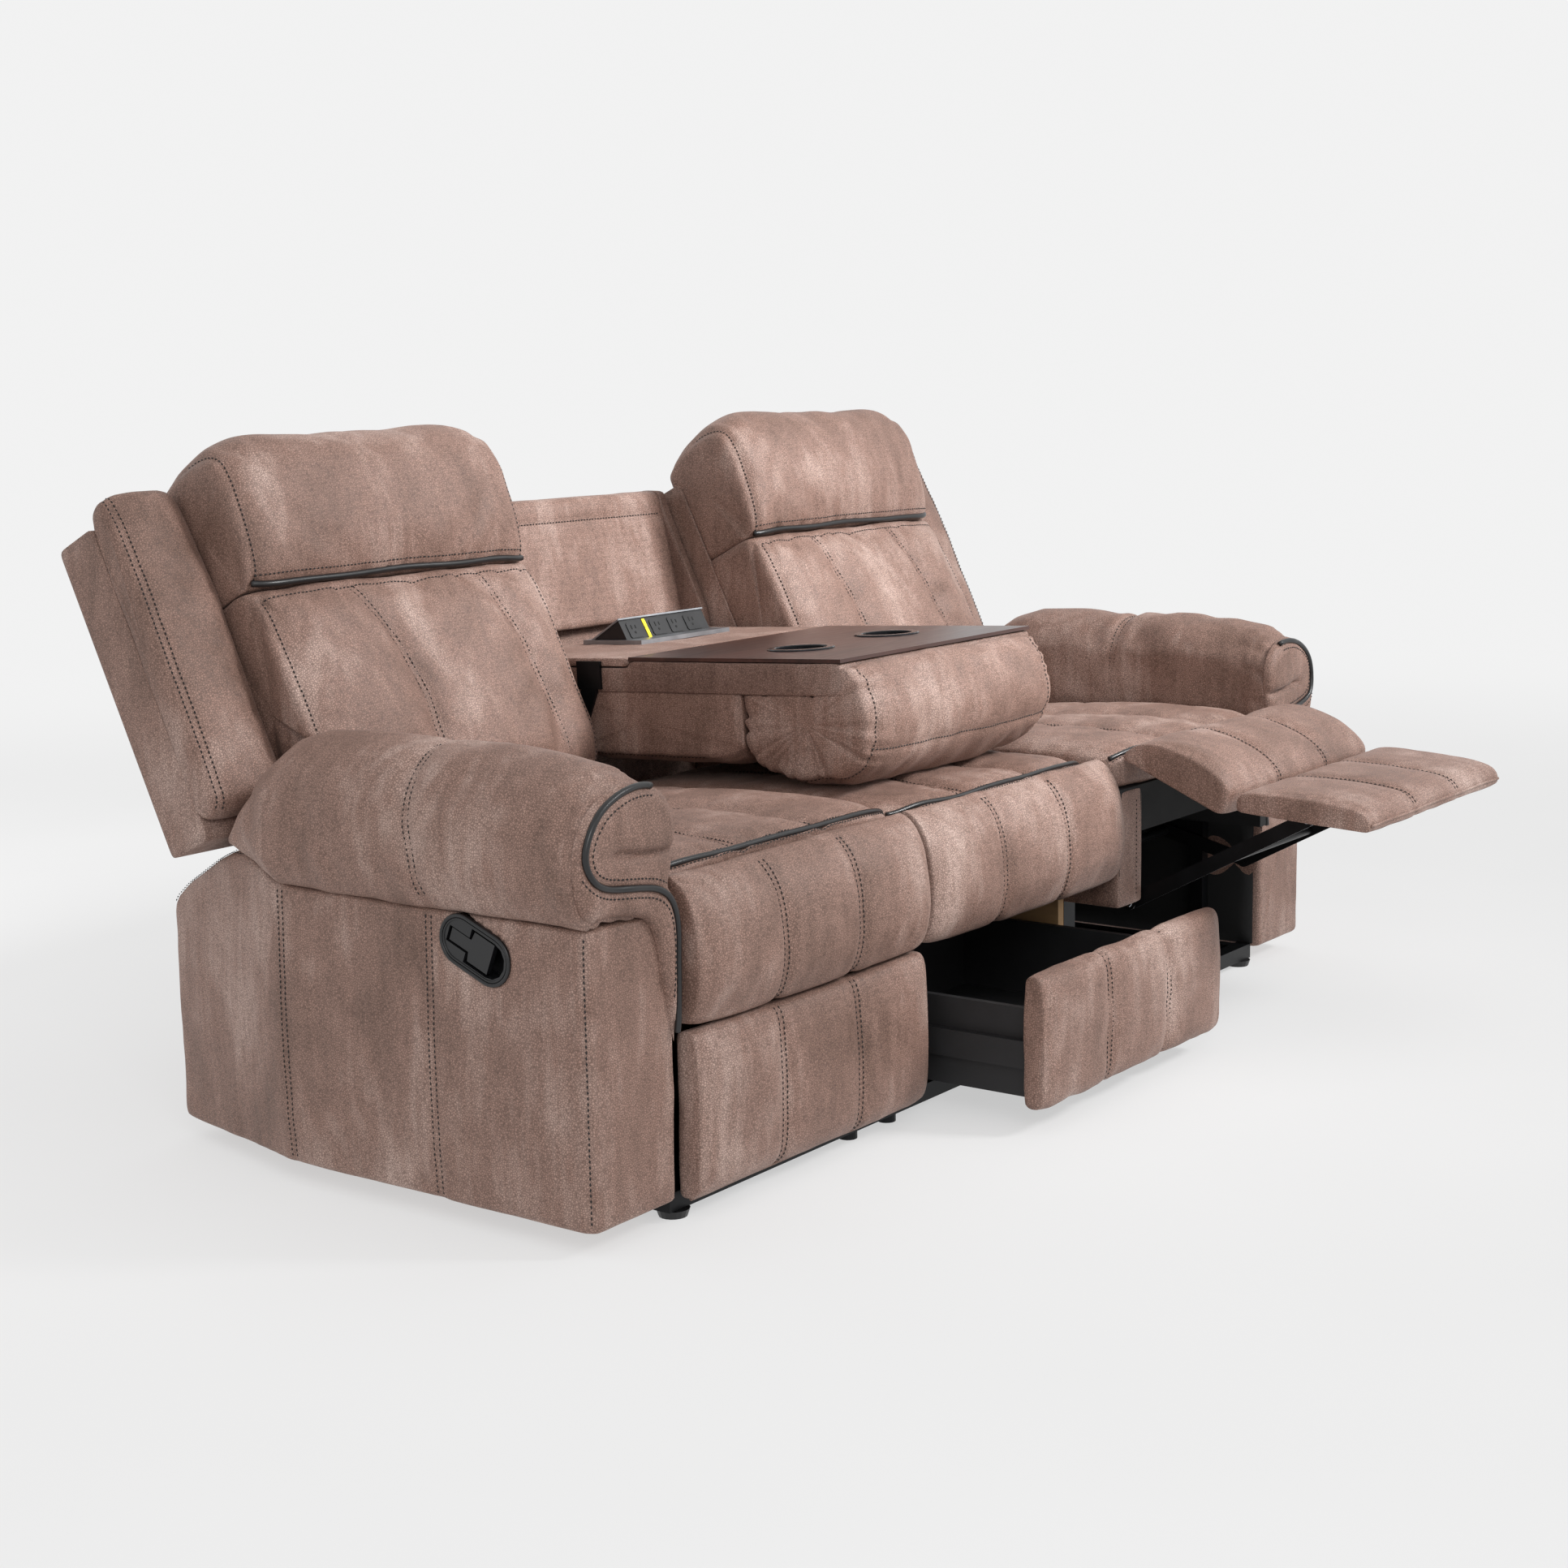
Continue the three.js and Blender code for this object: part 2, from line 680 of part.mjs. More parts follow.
function seatFrame() {
  const deck = block(reclinerInner, seatOuter, seatFront, seatRear, deckBottom - gap, deckTop);
  const innerRail = block(reclinerInner, innerPlate, seatFront, seatRear, seatFloor, deckBottom);
  const outerRail = block(outerPlate, seatOuter, seatFront, seatRear, seatFloor, deckBottom);
  const crossStart = deckBottom - crossRailHeight;
  const cross = block(
    innerPlate - gap, outerPlate + gap, crossRailStart, crossRailStart + crossRailDepth, crossStart,
    deckBottom,
  );
  const rear = block(
    innerPlate - gap, outerPlate + gap, seatRear - rearCrossDepth, seatRear, crossStart, deckBottom,
  );
  const hangers = Object.values(linkPlane(0)).map(([x0, x1]) => block(
    x0 - gap, x1 + gap, linkRoot[0] - hangerWidth / 2, linkRoot[0] + hangerWidth / 2,
    linkRoot[1] - hangerDrop, deckBottom,
  ));
  const pins = Object.entries(linkPlane(1)).map(([end, [x0, x1]]) => (
    end === 'inner' ? rod(linkPinRadius, x0 - linkThickness, x1 + gap, linkRoot)
      : rod(linkPinRadius, x0 - gap, x1 + linkThickness, linkRoot)
  ));
  return join(deck, innerRail, outerRail, cross, rear, ...hangers, ...pins);
}

// Base under each seat: side frames, a rear tie and the uprights that carry the back
function baseRails() {
  const barTop = seatFloor - gap;
  const barBottom = barTop - baseBarHeight;
  const frontEnd = frontRailStart + frontRailDepth + floorBarDepthEnd;
  const rearEnd = rearRailStart - floorBarDepthEnd;
  const rearLegEnd = rearLegStart + rearLegDepth;
  const innerBar = [reclinerInner + baseBarInset, reclinerInner + baseBarInset + baseBarWidth];
  const outerBar = [seatOuter - outerBaseWidth, seatOuter];
  const frames = [innerBar, outerBar].map(([x0, x1]) => join(
    block(x0, x1, frontLegStart, rearLegEnd, barBottom, barTop),
    block(x0, x1, frontEnd, rearEnd, footHeight, railTop),
    block(x0, x1, frontLegStart, frontLegStart + legDepth, railTop - gap, barBottom + gap),
    block(x0, x1, rearLegStart, rearLegEnd, railTop - gap, barBottom + gap),
  ));
  const tieStart = rearLegStart + (rearLegDepth - crossBarHeight) / 2;
  const tieBottom = railTop + crossBarLift;
  const tie = block(
    innerBar[0], outerBar[1], tieStart, tieStart + crossBarHeight, tieBottom,
    tieBottom + crossBarHeight,
  );
  const uprightTop = backPivot[1] + uprightDepth / 2;
  const uprightSides = [
    [reclinerInner + backInset, reclinerInner + backInset + uprightThickness],
    [seatOuter - uprightThickness, seatOuter],
  ];
  const uprights = uprightSides.map(([x0, x1]) => block(
    x0, x1, backPivot[0] - uprightDepth / 2, backPivot[0] + uprightDepth / 2, barBottom, uprightTop,
  ));
  const knee = block(
    uprightSides[0][0], innerBar[0] + gap, backPivot[0] - uprightDepth / 2, backPivot[0] + uprightDepth / 2,
    barBottom, barTop,
  );
  const pins = [
    rod(backPinRadius, uprightSides[0][1] - gap, uprightSides[0][1] + gap + earThickness, backPivot),
    rod(backPinRadius, uprightSides[1][0] - gap - earThickness, uprightSides[1][0] + gap, backPivot),
  ];
  return join(...frames, tie, knee, ...uprights, ...pins);
}

// Leaning frame of each back: thickness runs forwards, height runs up the lean
function onBack(x, thickness, height) {
  const lean = radians(backLean);
  return [
    x,
    backFoot[0] + height * Math.sin(lean) - thickness * Math.cos(lean),
    backFoot[1] + height * Math.cos(lean) + thickness * Math.sin(lean),
  ];
}

function backPlaceOf([y, z]) {
  const lean = radians(backLean);
  const [dy, dz] = [y - backFoot[0], z - backFoot[1]];
  return [dz * Math.sin(lean) - dy * Math.cos(lean), dy * Math.sin(lean) + dz * Math.cos(lean)];
}

function backSlab(x0, x1, t0, t1, s0, s1) {
  const corners = [[t0, s0], [t1, s0], [t1, s1], [t0, s1]].map(([t, s]) => onBack(0, t, s).slice(1));
  return sideSlab(corners, x0, x1);
}

const backInner = reclinerInner + backInset;

function backFrame() {
  const panel = backSlab(backInner, armOuter, 0, backFrameThickness, 0, backFrameHeight);
  const [, pivotHeight] = backPlaceOf(backPivot);
  const earSides = [
    [backInner + uprightThickness + gap, backInner + uprightThickness + gap + earThickness],
    [seatOuter - uprightThickness - gap - earThickness, seatOuter - uprightThickness - gap],
  ];
  const ears = earSides.map(([x0, x1]) => backSlab(x0, x1, 0, earWidth, pivotHeight - earTail, overrun));
  const holes = earSides.map(([x0, x1]) => rod(backPinRadius + gap, x0 - overrun, x1 + overrun, backPivot));
  return cut(join(panel, ...ears), ...holes);
}

const cushionFace = backFrameThickness + gap;
const wingInner = armOuter - wingWidth;

function backWing() {
  const section = outline(
    wingSideShares, (a, b) => [cushionFace + a * wingDepth, wingBottom + b * wingHeight],
  );
  const anchor = [cushionFace, wingBottom + wingHeight / 2];
  return cushion(section, anchor, wingInner + gap, armOuter, wingDraw, crownShares, onBack);
}

function lumbarCushion() {
  const bottom = -lumbarDrop;
  const height = pillowSeam - bottom;
  const section = outline(lumbarSideShares, (a, b) => [cushionFace + a * lumbarDepth, bottom + b * height]);
  const anchor = [cushionFace, bottom + height];
  const body = cushion(section, anchor, backInner, wingInner, backCushionDraw, channelledShares, onBack);
  const armRoom = backSlab(
    armInner - lumbarArmGap, wingInner + overrun, cushionFace - overrun, cushionFace + lumbarDepth + overrun,
    bottom - overrun, lumbarNotch,
  );
  return cut(solid(body), armRoom);
}

function headPillow() {
  const bottom = pillowSeam + gap;
  const height = pillowTop - bottom;
  const restShare = (backFrameHeight + gap - bottom) / height;
  const shares = [...pillowFrontShares, [-pillowOverhangShare, restShare], [0, restShare]];
  const section = outline(shares, (a, b) => [cushionFace + a * pillowDepth, bottom + b * height]);
  const anchor = [cushionFace, backFrameHeight + gap];
  return cushion(section, anchor, backInner, wingInner, pillowDraw, crownShares, onBack);
}

// Seat cushion and the two pads that fold out
function seatCushionBetween(from, to, height) {
  const bottom = deckTop + gap;
  const front = seatFront - cushionLead;
  const section = outline(seatSideShares, (a, b) => [front + a * seatCushionDepth, bottom + b * height]);
  const anchor = [front + seatCushionDepth / 2, bottom];
  return cushion(section, anchor, from, to, seatCushionDraw, channelledShares, inSidePlane);
}

const padBack = seatFront - cushionLead - gap;
const chaiseTop = deckTop + pipingHeight - gap;
const chaiseBottom = chaiseTop - chaiseHeight;
const chaiseHinge = [seatFront - cushionLead, deckTop + pipingHeight];
const footrestPivot = [padBack - footrestHinge[0], chaiseBottom - footrestHinge[1]];
const footrestTop = chaiseBottom - padGap;

function chaisePadBetween(from, to) {
  const section = outline(
    chaiseSideShares, (a, b) => [padBack - a * chaiseDepth, chaiseBottom + b * chaiseHeight],
  );
  const anchor = [padBack, chaiseBottom + chaiseHeight];
  return cushion(section, anchor, from, to, chaiseDraw, channelledShares, inSidePlane);
}

const padSides = [reclinerInner + padInset, reclinerOuter - padOuterInset];
const centreSides = [unitGap - centreHalfWidth, centreHalfWidth - unitGap];

function footrestPad() {
  const bottom = footrestTop - footrestHeight;
  const back = padBack - footrestSetBack;
  const section = outline(
    footrestSideShares, (a, b) => [back - a * footrestDepth, bottom + b * footrestHeight],
  );
  const anchor = [back, footrestTop];
  return cushion(section, anchor, ...padSides, footrestDraw, channelledShares, inSidePlane);
}

// Footrest links: the elbow lies where the two lengths meet behind the line from root to tip
const linkTip = [padBack - footrestSetBack + 2 * gap + linkWidth / 2, footrestPivot[1] - linkTipDrop];

function elbowFor(tip) {
  const reach = Math.hypot(tip[0] - linkRoot[0], tip[1] - linkRoot[1]);
  const [uy, uz] = [(tip[0] - linkRoot[0]) / reach, (tip[1] - linkRoot[1]) / reach];
  const along = (lowerLinkLength ** 2 - upperLinkLength ** 2 + reach ** 2) / (2 * reach);
  const away = Math.sqrt(lowerLinkLength ** 2 - along ** 2);
  return [linkRoot[0] + along * uy - away * uz, linkRoot[1] + along * uz + away * uy];
}

const elbow = elbowFor(linkTip);
const openPivot = turnedPlace(footrestPivot, chaiseHinge, chaiseOpening);
const tipBeforeFold = turnedPlace(linkTip, chaiseHinge, chaiseOpening);
const openTip = turnedPlace(tipBeforeFold, openPivot, footrestOpening);
const openElbow = elbowFor(openTip);

function headingFrom([y0, z0], [y1, z1]) {
  return THREE.MathUtils.radToDeg(Math.atan2(z1 - z0, y1 - y0));
}

function turnBetween(closed, open) {
  return THREE.MathUtils.euclideanModulo(closed - open + 180, 360) - 180;
}

const lowerLinkTurn = turnBetween(headingFrom(linkRoot, elbow), headingFrom(linkRoot, openElbow));
const upperSwing = turnBetween(headingFrom(elbow, linkTip), headingFrom(openElbow, openTip));
const upperLinkTurn = upperSwing - lowerLinkTurn;

function between(from, to, share) {
  return [from[0] + share * (to[0] - from[0]), from[1] + share * (to[1] - from[1])];
}

function lowerLink() {
  const plane = linkPlane(1);
  const arms = Object.values(plane).map(([x0, x1]) => cut(
    sideSlab(strap(linkRoot, elbow, linkWidth / 2), x0, x1),
    rod(linkPinRadius + linkGap, x0 - overrun, x1 + overrun, linkRoot),
  ));
  const tube = rod(
    linkTubeRadius, plane.inner[1] - gap, plane.outer[0] + gap,
    between(linkRoot, elbow, lowerTubeShare),
  );
  const outerEdges = linkPlane(2);
  const pins = [
    rod(linkPinRadius, plane.inner[0] + gap, outerEdges.inner[1] + linkGap, elbow),
    rod(linkPinRadius, outerEdges.outer[0] - linkGap, plane.outer[1] - gap, elbow),
  ];
  return join(...arms, tube, ...pins);
}

function upperLink() {
  const plane = linkPlane(2);
  const arms = Object.values(plane).map(([x0, x1]) => cut(
    sideSlab(strap(elbow, linkTip, linkWidth / 2), x0, x1),
    rod(linkPinRadius + linkGap, x0 - overrun, x1 + overrun, elbow),
  ));
  const tube = rod(
    linkTubeRadius, plane.inner[1] - gap, plane.outer[0] + gap, between(elbow, linkTip, linkTubeShare),
  );
  return join(...arms, tube);
}

function footrestBracket() {
  const plane = linkPlane(3);
  const back = padBack - footrestSetBack + gap;
  const bottom = linkTip[1] - bracketHeight / 2;
  const board = block(
    plane.inner[0], plane.outer[1], back, back + bracketDepth, bottom, bottom + bracketHeight,
  );
  const ears = Object.values(plane).map(([x0, x1]) => rod(linkWidth / 2, x0, x1, linkTip));
  return join(board, ...ears);
}

// Centre seat box and drawer
const panelInner = centreHalfWidth - centrePanelThickness;

function centreSeatBox() {
  const deck = block(-centreHalfWidth, centreHalfWidth, seatFront, centreDeckEnd, deckBottom, deckTop);
  const apronTop = deckBottom + gap;
  const apron = block(
    -centreHalfWidth, centreHalfWidth, seatFront, seatFront + apronDepth, apronTop - apronHeight, apronTop,
  );
  const top = block(
    -centreHalfWidth, centreHalfWidth, seatFront, centrePanelStart + overrun,
    deckBottom - centrePanelThickness, apronTop,
  );
  const rearTie = block(
    -centreHalfWidth, centreHalfWidth, centrePanelStart + centrePanelDepth - apronDepth,
    centrePanelStart + centrePanelDepth, railTop + gap, railTop + apronHeight,
  );
  const panels = [-1, 1].map((side) => {
    const [x0, x1] = side < 0 ? [-centreHalfWidth, -panelInner] : [panelInner, centreHalfWidth];
    const upright = block(
      x0, x1, centrePanelStart, centrePanelStart + centrePanelDepth, railTop + gap, deckBottom + gap,
    );
    const runner = block(
      x0, x1, frontRailStart + frontRailDepth / 2, centrePanelStart + overrun, railTop + gap,
      railTop + apronDepth,
    );
    const tail = block(
      x0, x1, centrePanelStart + centrePanelDepth - overrun, postFoot - gap, railTop + gap,
      railTop + apronDepth,
    );
    return join(upright, runner, tail);
  });
  return join(deck, apron, top, rearTie, ...panels);
}

function drawerBox() {
  const [y0, y1] = [
    drawerFrontThickness - drawerFrontLead + gap,
    drawerFrontThickness - drawerFrontLead + drawerBoxDepth,
  ];
  const half = panelInner - gap - slideThickness - gap - runnerThickness;
  const top = drawerBoxBottom + drawerBoxHeight;
  const outer = block(-half, half, y0, y1, drawerBoxBottom, top);
  const inner = block(
    -half + drawerWall, half - drawerWall, y0 + drawerWall, y1 - drawerWall,
    drawerBoxBottom + drawerWall, top + overrun,
  );
  const runnerBottom = drawerBoxBottom + slideLift;
  const runners = [-1, 1].map((side) => {
    const [x0, x1] = side < 0 ? [-half - runnerThickness, -half + gap] : [half - gap, half + runnerThickness];
    return block(x0, x1, y0, y1, runnerBottom + gap, runnerBottom + slideHeight - gap);
  });
  return join(cut(outer, inner), ...runners);
}

function drawerFront() {
  const half = centreHalfWidth - drawerFrontSide;
  const [y0, y1] = [-drawerFrontLead, drawerFrontThickness - drawerFrontLead];
  return block(-half, half, y0, y1, drawerFrontBottom, drawerFrontBottom + drawerFrontHeight);
}

function drawerSlide() {
  const bottom = drawerBoxBottom + slideLift;
  return block(
    panelInner - gap - slideThickness, panelInner - gap, slideStart, slideStart + slideLength, bottom,
    bottom + slideHeight,
  );
}

// Fixed centre back: a recessed panel between two flanges on posts, with an outer sheet behind
function centreBack() {
  const inner = centreHalfWidth - flangeThickness;
  const rearAt = (z) => centreBackRear - (centreBackTop - z) * Math.tan(radians(backLean) / 2);
  const seam = recessBottom[1] + overrun;
  const recess = [
    recessBottom, [rearAt(seam) - overrun, recessBottom[1]], [rearAt(seam), seam],
    [centreBackRear, centreBackTop], [recessTop[0], centreBackTop], recessTop,
  ];
  const flange = [
    [postFoot, railTop + gap], [outerSheetFoot[0], railTop + gap], outerSheetFoot, outerSheetWaist,
    [rearAt(seam), seam], [centreBackRear, centreBackTop], [recessTop[0], centreBackTop],
    flangeTop, flangeBottom, [postFoot, deckTop],
  ];
  const sheet = [
    [outerSheetFoot[0] - outerSheetThickness, outerSheetFoot[1]], outerSheetFoot, outerSheetWaist,
    [rearAt(seam), seam], [rearAt(seam) - outerSheetThickness, seam],
    [outerSheetWaist[0] - outerSheetThickness, outerSheetWaist[1]],
  ];
  return join(
    sideSlab(recess, -inner - gap, inner + gap),
    sideSlab(sheet, -inner - gap, inner + gap),
    sideSlab(flange, -centreHalfWidth, -inner),
    sideSlab(flange, inner, centreHalfWidth),
  );
}

// Console pieces, drawn about their pivot with the table level
function consoleTop() {
  const top = block(
    -consoleHalfWidth, consoleHalfWidth, -tableFront, -tableRear - gap, tableHeight - tableThickness,
    tableHeight,
  );
  return cut(top, ...cupHoles(tableHeight - tableThickness - overrun, tableHeight + overrun));
}

function cupHoles(z0, z1) {
  return [-cupSpread, cupSpread].map(
    (x) => standing(cupRadius + gap, cupRadius + gap, x, -cupPlace, z0, z1, cupSides)
  );
}

// Square room for the cup holders in what lies under the table top
function cupRooms(half, z0, z1) {
  return [-cupSpread, cupSpread].map(
    (x) => block(x - half, x + half, -cupPlace - half, half - cupPlace, z0, z1)
  );
}

function consoleFrame() {
  const underside = tableHeight - boardThickness;
  const board = sideSlab([
    [-tableFront, underside], [boardRear, underside], [boardRear, tableHeight - ledgeThickness - gap],
    [-tableRear - gap, tableHeight - ledgeThickness - gap],
    [-tableRear - gap, tableHeight - tableThickness - gap],
    [-tableFront, tableHeight - tableThickness - gap],
  ], -consoleHalfWidth, consoleHalfWidth);
  return cut(board, ...cupRooms(cupRadius + gap, underside - overrun, tableHeight));
}

function consoleCushion() {
  const top = tableHeight - boardThickness - gap;
  const height = top + underCushionDepth;
  const length = underCushionRear + underCushionFront;
  const half = consoleHalfWidth - cushionSideInset;
  const place = (a, b) => [-underCushionFront + gap + a * length, -underCushionDepth + b * height];
  const section = outline(underCushionShares, place);
  const anchor = [(underCushionRear - underCushionFront) / 2, top];
  const body = cushion(section, anchor, -half, half, consoleDraw, channelledShares, inSidePlane);
  return cut(solid(body), ...cupRooms(cupRadius + cupWall, tableHeight - cupDepth - cupWall, top + overrun));
}

function consolePillow() {
  const half = consoleHalfWidth - cushionSideInset;
  const underside = tableHeight - boardThickness - gap;
  const length = consolePillowFront - underCushionFront;
  const height = consolePillowTop + consolePillowBottom;
  const place = (a, b) => [-underCushionFront - a * length, b * height - consolePillowBottom];
  const front = outline(consolePillowShares, place);
  const section = [
    ...front, [-tableFront - gap, consolePillowTop], [-tableFront - gap, underside],
    [-underCushionFront, underside],
  ];
  const anchor = [-tableFront - gap, underside];
  const body = cushion(section, anchor, -half, half, consoleDraw, crownShares, inSidePlane);
  return cut(
    solid(body),
    ...cupRooms(cupRadius + cupWall, tableHeight - cupDepth - cupWall, underside + overrun),
  );
}

function consoleLedge() {
  const bottom = tableHeight - ledgeThickness;
  const slab = block(-consoleHalfWidth, consoleHalfWidth, -tableRear, ledgeRear, bottom, tableHeight);
  return cut(slab, outletWell(bottom - overrun, tableHeight + overrun));
}

function outletWell(z0, z1) {
  const [x0, x1] = [outletLeft + outletRimWidth, outletRight - outletRimWidth];
  return block(x0, x1, outletWellFront, outletHinge[0] + outletRimWidth / 2, z0, z1);
}

function outletFrame() {
  const rim = block(
    outletLeft, outletRight, outletFront, outletRear, tableHeight + gap, tableHeight + outletRimHeight,
  );
  return cut(rim, outletWell(tableHeight - overrun, tableHeight + outletRimHeight + overrun));
}

function outletBox() {
  const [x0, x1] = [
    outletLeft + outletRimWidth + outletSideGap, outletRight - outletRimWidth - outletSideGap,
  ];
  return sideSlab([outletHinge, outletLidEdge, outletFoot], x0, x1);
}

function cupHolder(x) {
  const inside = cupRadius - cupWall;
  const profile = [
    [0, -cupDepth], [cupRadius, -cupDepth], [cupRadius, gap], [cupRimRadius, gap],
    [cupRimRadius, cupRimHeight / 2], [cupRimRadius - cupRimHeight / 2, cupRimHeight],
    [inside + cupRimHeight / 2, cupRimHeight], [inside, cupRimHeight / 2],
    [inside, cupWall - cupDepth], [0, cupWall - cupDepth],
  ].map(([r, z]) => new THREE.Vector2(r, z));
  const cup = solid(new THREE.LatheGeometry(profile, cupSides).rotateX(Math.PI / 2));
  return surface(cup).translate(x, -cupPlace, tableHeight);
}

const hingePlateInner = consoleHalfWidth + gap;

function consoleHinge() {
  const plate = sideSlab([
    [-hingePlateReach, tableHeight - boardThickness], [0, tableHeight - boardThickness], [0, hingePlateTop],
    [-hingePlateReach, hingePlateTop],
  ], hingePlateInner, hingePlateInner + hingePlateThickness);
  const arm = sideSlab(
    strap([0, 0], [-hingePlateReach / 2, tableHeight - boardThickness], hingeBossRadius),
    hingePlateInner, hingePlateInner + hingePlateThickness,
  );
  const hole = rod(
    hingePinRadius + gap, hingePlateInner - overrun, hingePlateInner + hingePlateThickness + overrun,
    [0, 0],
  );
  return cut(join(plate, arm), hole);
}

// Fixed mount of the console: two plates on a bar across the deck, with the pins
function consoleMount() {
  const plateInner = hingePlateInner + hingePlateThickness + gap;
  const plateOuter = plateInner + hingePlateThickness;
  const bottom = deckTop + gap;
  const bar = block(-plateOuter, plateOuter, mountPlateStart, centreDeckEnd, bottom, bottom + mountBarHeight);
  const sides = [-1, 1].map((side) => {
    const [x0, x1] = side < 0 ? [-plateOuter, -plateInner] : [plateInner, plateOuter];
    const pinSpan = side < 0 ? [-plateInner - gap, -hingePlateInner] : [hingePlateInner, plateInner + gap];
    const plate = block(x0, x1, mountPlateStart, mountPlateStart + mountPlateDepth, bottom, consolePivot[1]);
    return join(
      plate, rod(mountPlateDepth / 2, x0, x1, [mountPlateStart + mountPlateDepth / 2, consolePivot[1]]),
      rod(hingePinRadius, ...pinSpan, consolePivot),
    );
  });
  return join(bar, ...sides);
}

// The whole sofa
const sofa = new THREE.Group();

for (const side of ['left', 'right']) {
  const isOpen = side === 'right';
  sofa.add(
    sidePiece(side, 'arm_frame', armFrame(), leather),
    sidePiece(side, 'arm_pad', armPad(), leatherShade),
    sidePiece(side, 'arm_front_panel', armFrontPanel(), leather),
    sidePiece(side, 'lever_bezel', leverBezel(), blackPlastic),
    sidePiece(side, 'release_lever', releaseLever(), blackPlastic),
    sidePiece(side, 'front_foot', foot(frontRailStart + frontRailDepth / 2), blackPlastic),
    sidePiece(side, 'rear_foot', foot(rearRailStart + rearRailDepth / 2), blackPlastic),
    sidePiece(side, 'base_rails', baseRails(), blackSteel),
    sidePiece(side, 'back_frame', backFrame(), leather),
    sidePiece(side, 'back_wing', backWing(), leather),
    sidePiece(side, 'lumbar_cushion', lumbarCushion(), leather),
    sidePiece(side, 'head_pillow', headPillow(), leather),
  );
  const upper = turned(
    elbow, isOpen ? upperLinkTurn : 0, sidePiece(side, 'upper_link', upperLink(), blackSteel),
  );
  const lower = turned(
    linkRoot, isOpen ? lowerLinkTurn : 0, sidePiece(side, 'lower_link', lowerLink(), blackSteel),
    upper,
  );
  const footrest = turned(
    footrestPivot, isOpen ? footrestOpening : 0,
    sidePiece(side, 'footrest_pad', footrestPad(), leather),
    sidePiece(side, 'footrest_bracket', footrestBracket(), blackSteel),
  );
  const chaise = turned(
    chaiseHinge, isOpen ? chaiseOpening : 0,
    sidePiece(side, 'chaise_pad', chaisePadBetween(...padSides), leather), footrest,
  );
  const seat = new THREE.Group();
  seat.position.y = isOpen ? -seatSlide : 0;
  seat.add(
    sidePiece(side, 'seat_frame', seatFrame(), leatherShade),
    sidePiece(
      side, 'seat_cushion', seatCushionBetween(reclinerInner, reclinerOuter, seatCushionHeight),
      leather,
    ),
    lower, chaise,
  );
  sofa.add(seat);
}

sofa.add(
  piece('front_rail', frontRail(), blackSteel),
  piece('rear_rail', rearRail(), leatherShade),
  piece('centre_seat_box', centreSeatBox(), plywood),
  piece('centre_seat_cushion', seatCushionBetween(...centreSides, centreCushionHeight), leather),
  piece('centre_front_pad', chaisePadBetween(...centreSides), leather),
  piece('centre_back_panel', centreBack(), leather),
  piece('console_mount', consoleMount(), blackSteel),
);

const drawer = new THREE.Group();
drawer.position.y = -drawerPull;
drawer.add(piece('drawer_box', drawerBox(), drawerBlack), piece('drawer_front', drawerFront(), leather));
sofa.add(drawer);

const consoleGroup = new THREE.Group();
consoleGroup.position.set(0, ...consolePivot);
consoleGroup.rotation.x = -radians(consoleTilt);
consoleGroup.add(
  piece('console_frame', consoleFrame(), leatherShade),
  piece('console_top', consoleTop(), darkLaminate),
  piece('console_cushion', consoleCushion(), leather),
  piece('console_pillow', consolePillow(), leather),
  piece('console_ledge', consoleLedge(), leatherShade),
  piece('outlet_frame', outletFrame(), silverPlastic),
  piece('outlet_box', outletBox(), blackPlastic),
);
sofa.add(consoleGroup);

for (const [side, sign] of [['left', -1], ['right', 1]]) {
  sofa.add(sidePiece(side, 'drawer_slide', drawerSlide(), chromeSteel));
  consoleGroup.add(
    piece(`${side}_cup_holder`, cupHolder(sign * cupSpread), chromeSteel),
    sidePiece(side, 'console_hinge', consoleHinge(), blackSteel),
  );
}

sofa.updateMatrixWorld(true);
const extent = new THREE.Box3().setFromObject(sofa);
sofa.position.y = -(extent.min.y + extent.max.y) / 2;
sofa.updateMatrixWorld(true);

export default sofa;
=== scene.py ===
import math

import bmesh
import bpy
import numpy as np
from mathutils import Matrix, Vector, geometry


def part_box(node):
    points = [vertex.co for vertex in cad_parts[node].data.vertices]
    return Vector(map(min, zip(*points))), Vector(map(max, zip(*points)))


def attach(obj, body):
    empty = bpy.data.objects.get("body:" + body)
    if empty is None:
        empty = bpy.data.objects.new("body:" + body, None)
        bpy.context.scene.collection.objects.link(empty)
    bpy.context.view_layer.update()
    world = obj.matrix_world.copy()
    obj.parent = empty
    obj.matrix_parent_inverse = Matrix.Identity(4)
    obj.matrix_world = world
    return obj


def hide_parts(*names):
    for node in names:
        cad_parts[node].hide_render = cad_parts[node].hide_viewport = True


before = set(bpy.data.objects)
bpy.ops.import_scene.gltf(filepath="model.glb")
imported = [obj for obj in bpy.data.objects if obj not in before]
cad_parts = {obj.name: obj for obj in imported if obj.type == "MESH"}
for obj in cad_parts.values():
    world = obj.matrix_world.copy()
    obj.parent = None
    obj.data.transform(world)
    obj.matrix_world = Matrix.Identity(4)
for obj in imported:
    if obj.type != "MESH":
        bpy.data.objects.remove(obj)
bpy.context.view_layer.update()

MM = 0.001
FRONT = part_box("left_arm_front_panel")[0].y
GRAIN = 7.0
TINY = 1e-9

# The moving parts at rest, in millimetres and degrees: the right recliner is the open one
OPENED = "right"
LEAN = math.radians(26)
BACK_FOOT = (832, 470)
CHAISE_HINGE, CHAISE_TURN = (44, 498), 66
FOOTREST_PIVOT, FOOTREST_TURN = (-12.3, 275.5), 20
CONSOLE_PIVOT, CONSOLE_TILT = (712, 590), 2.63
SEAT_SLIDE = 50
DRAWER_PULL = 203


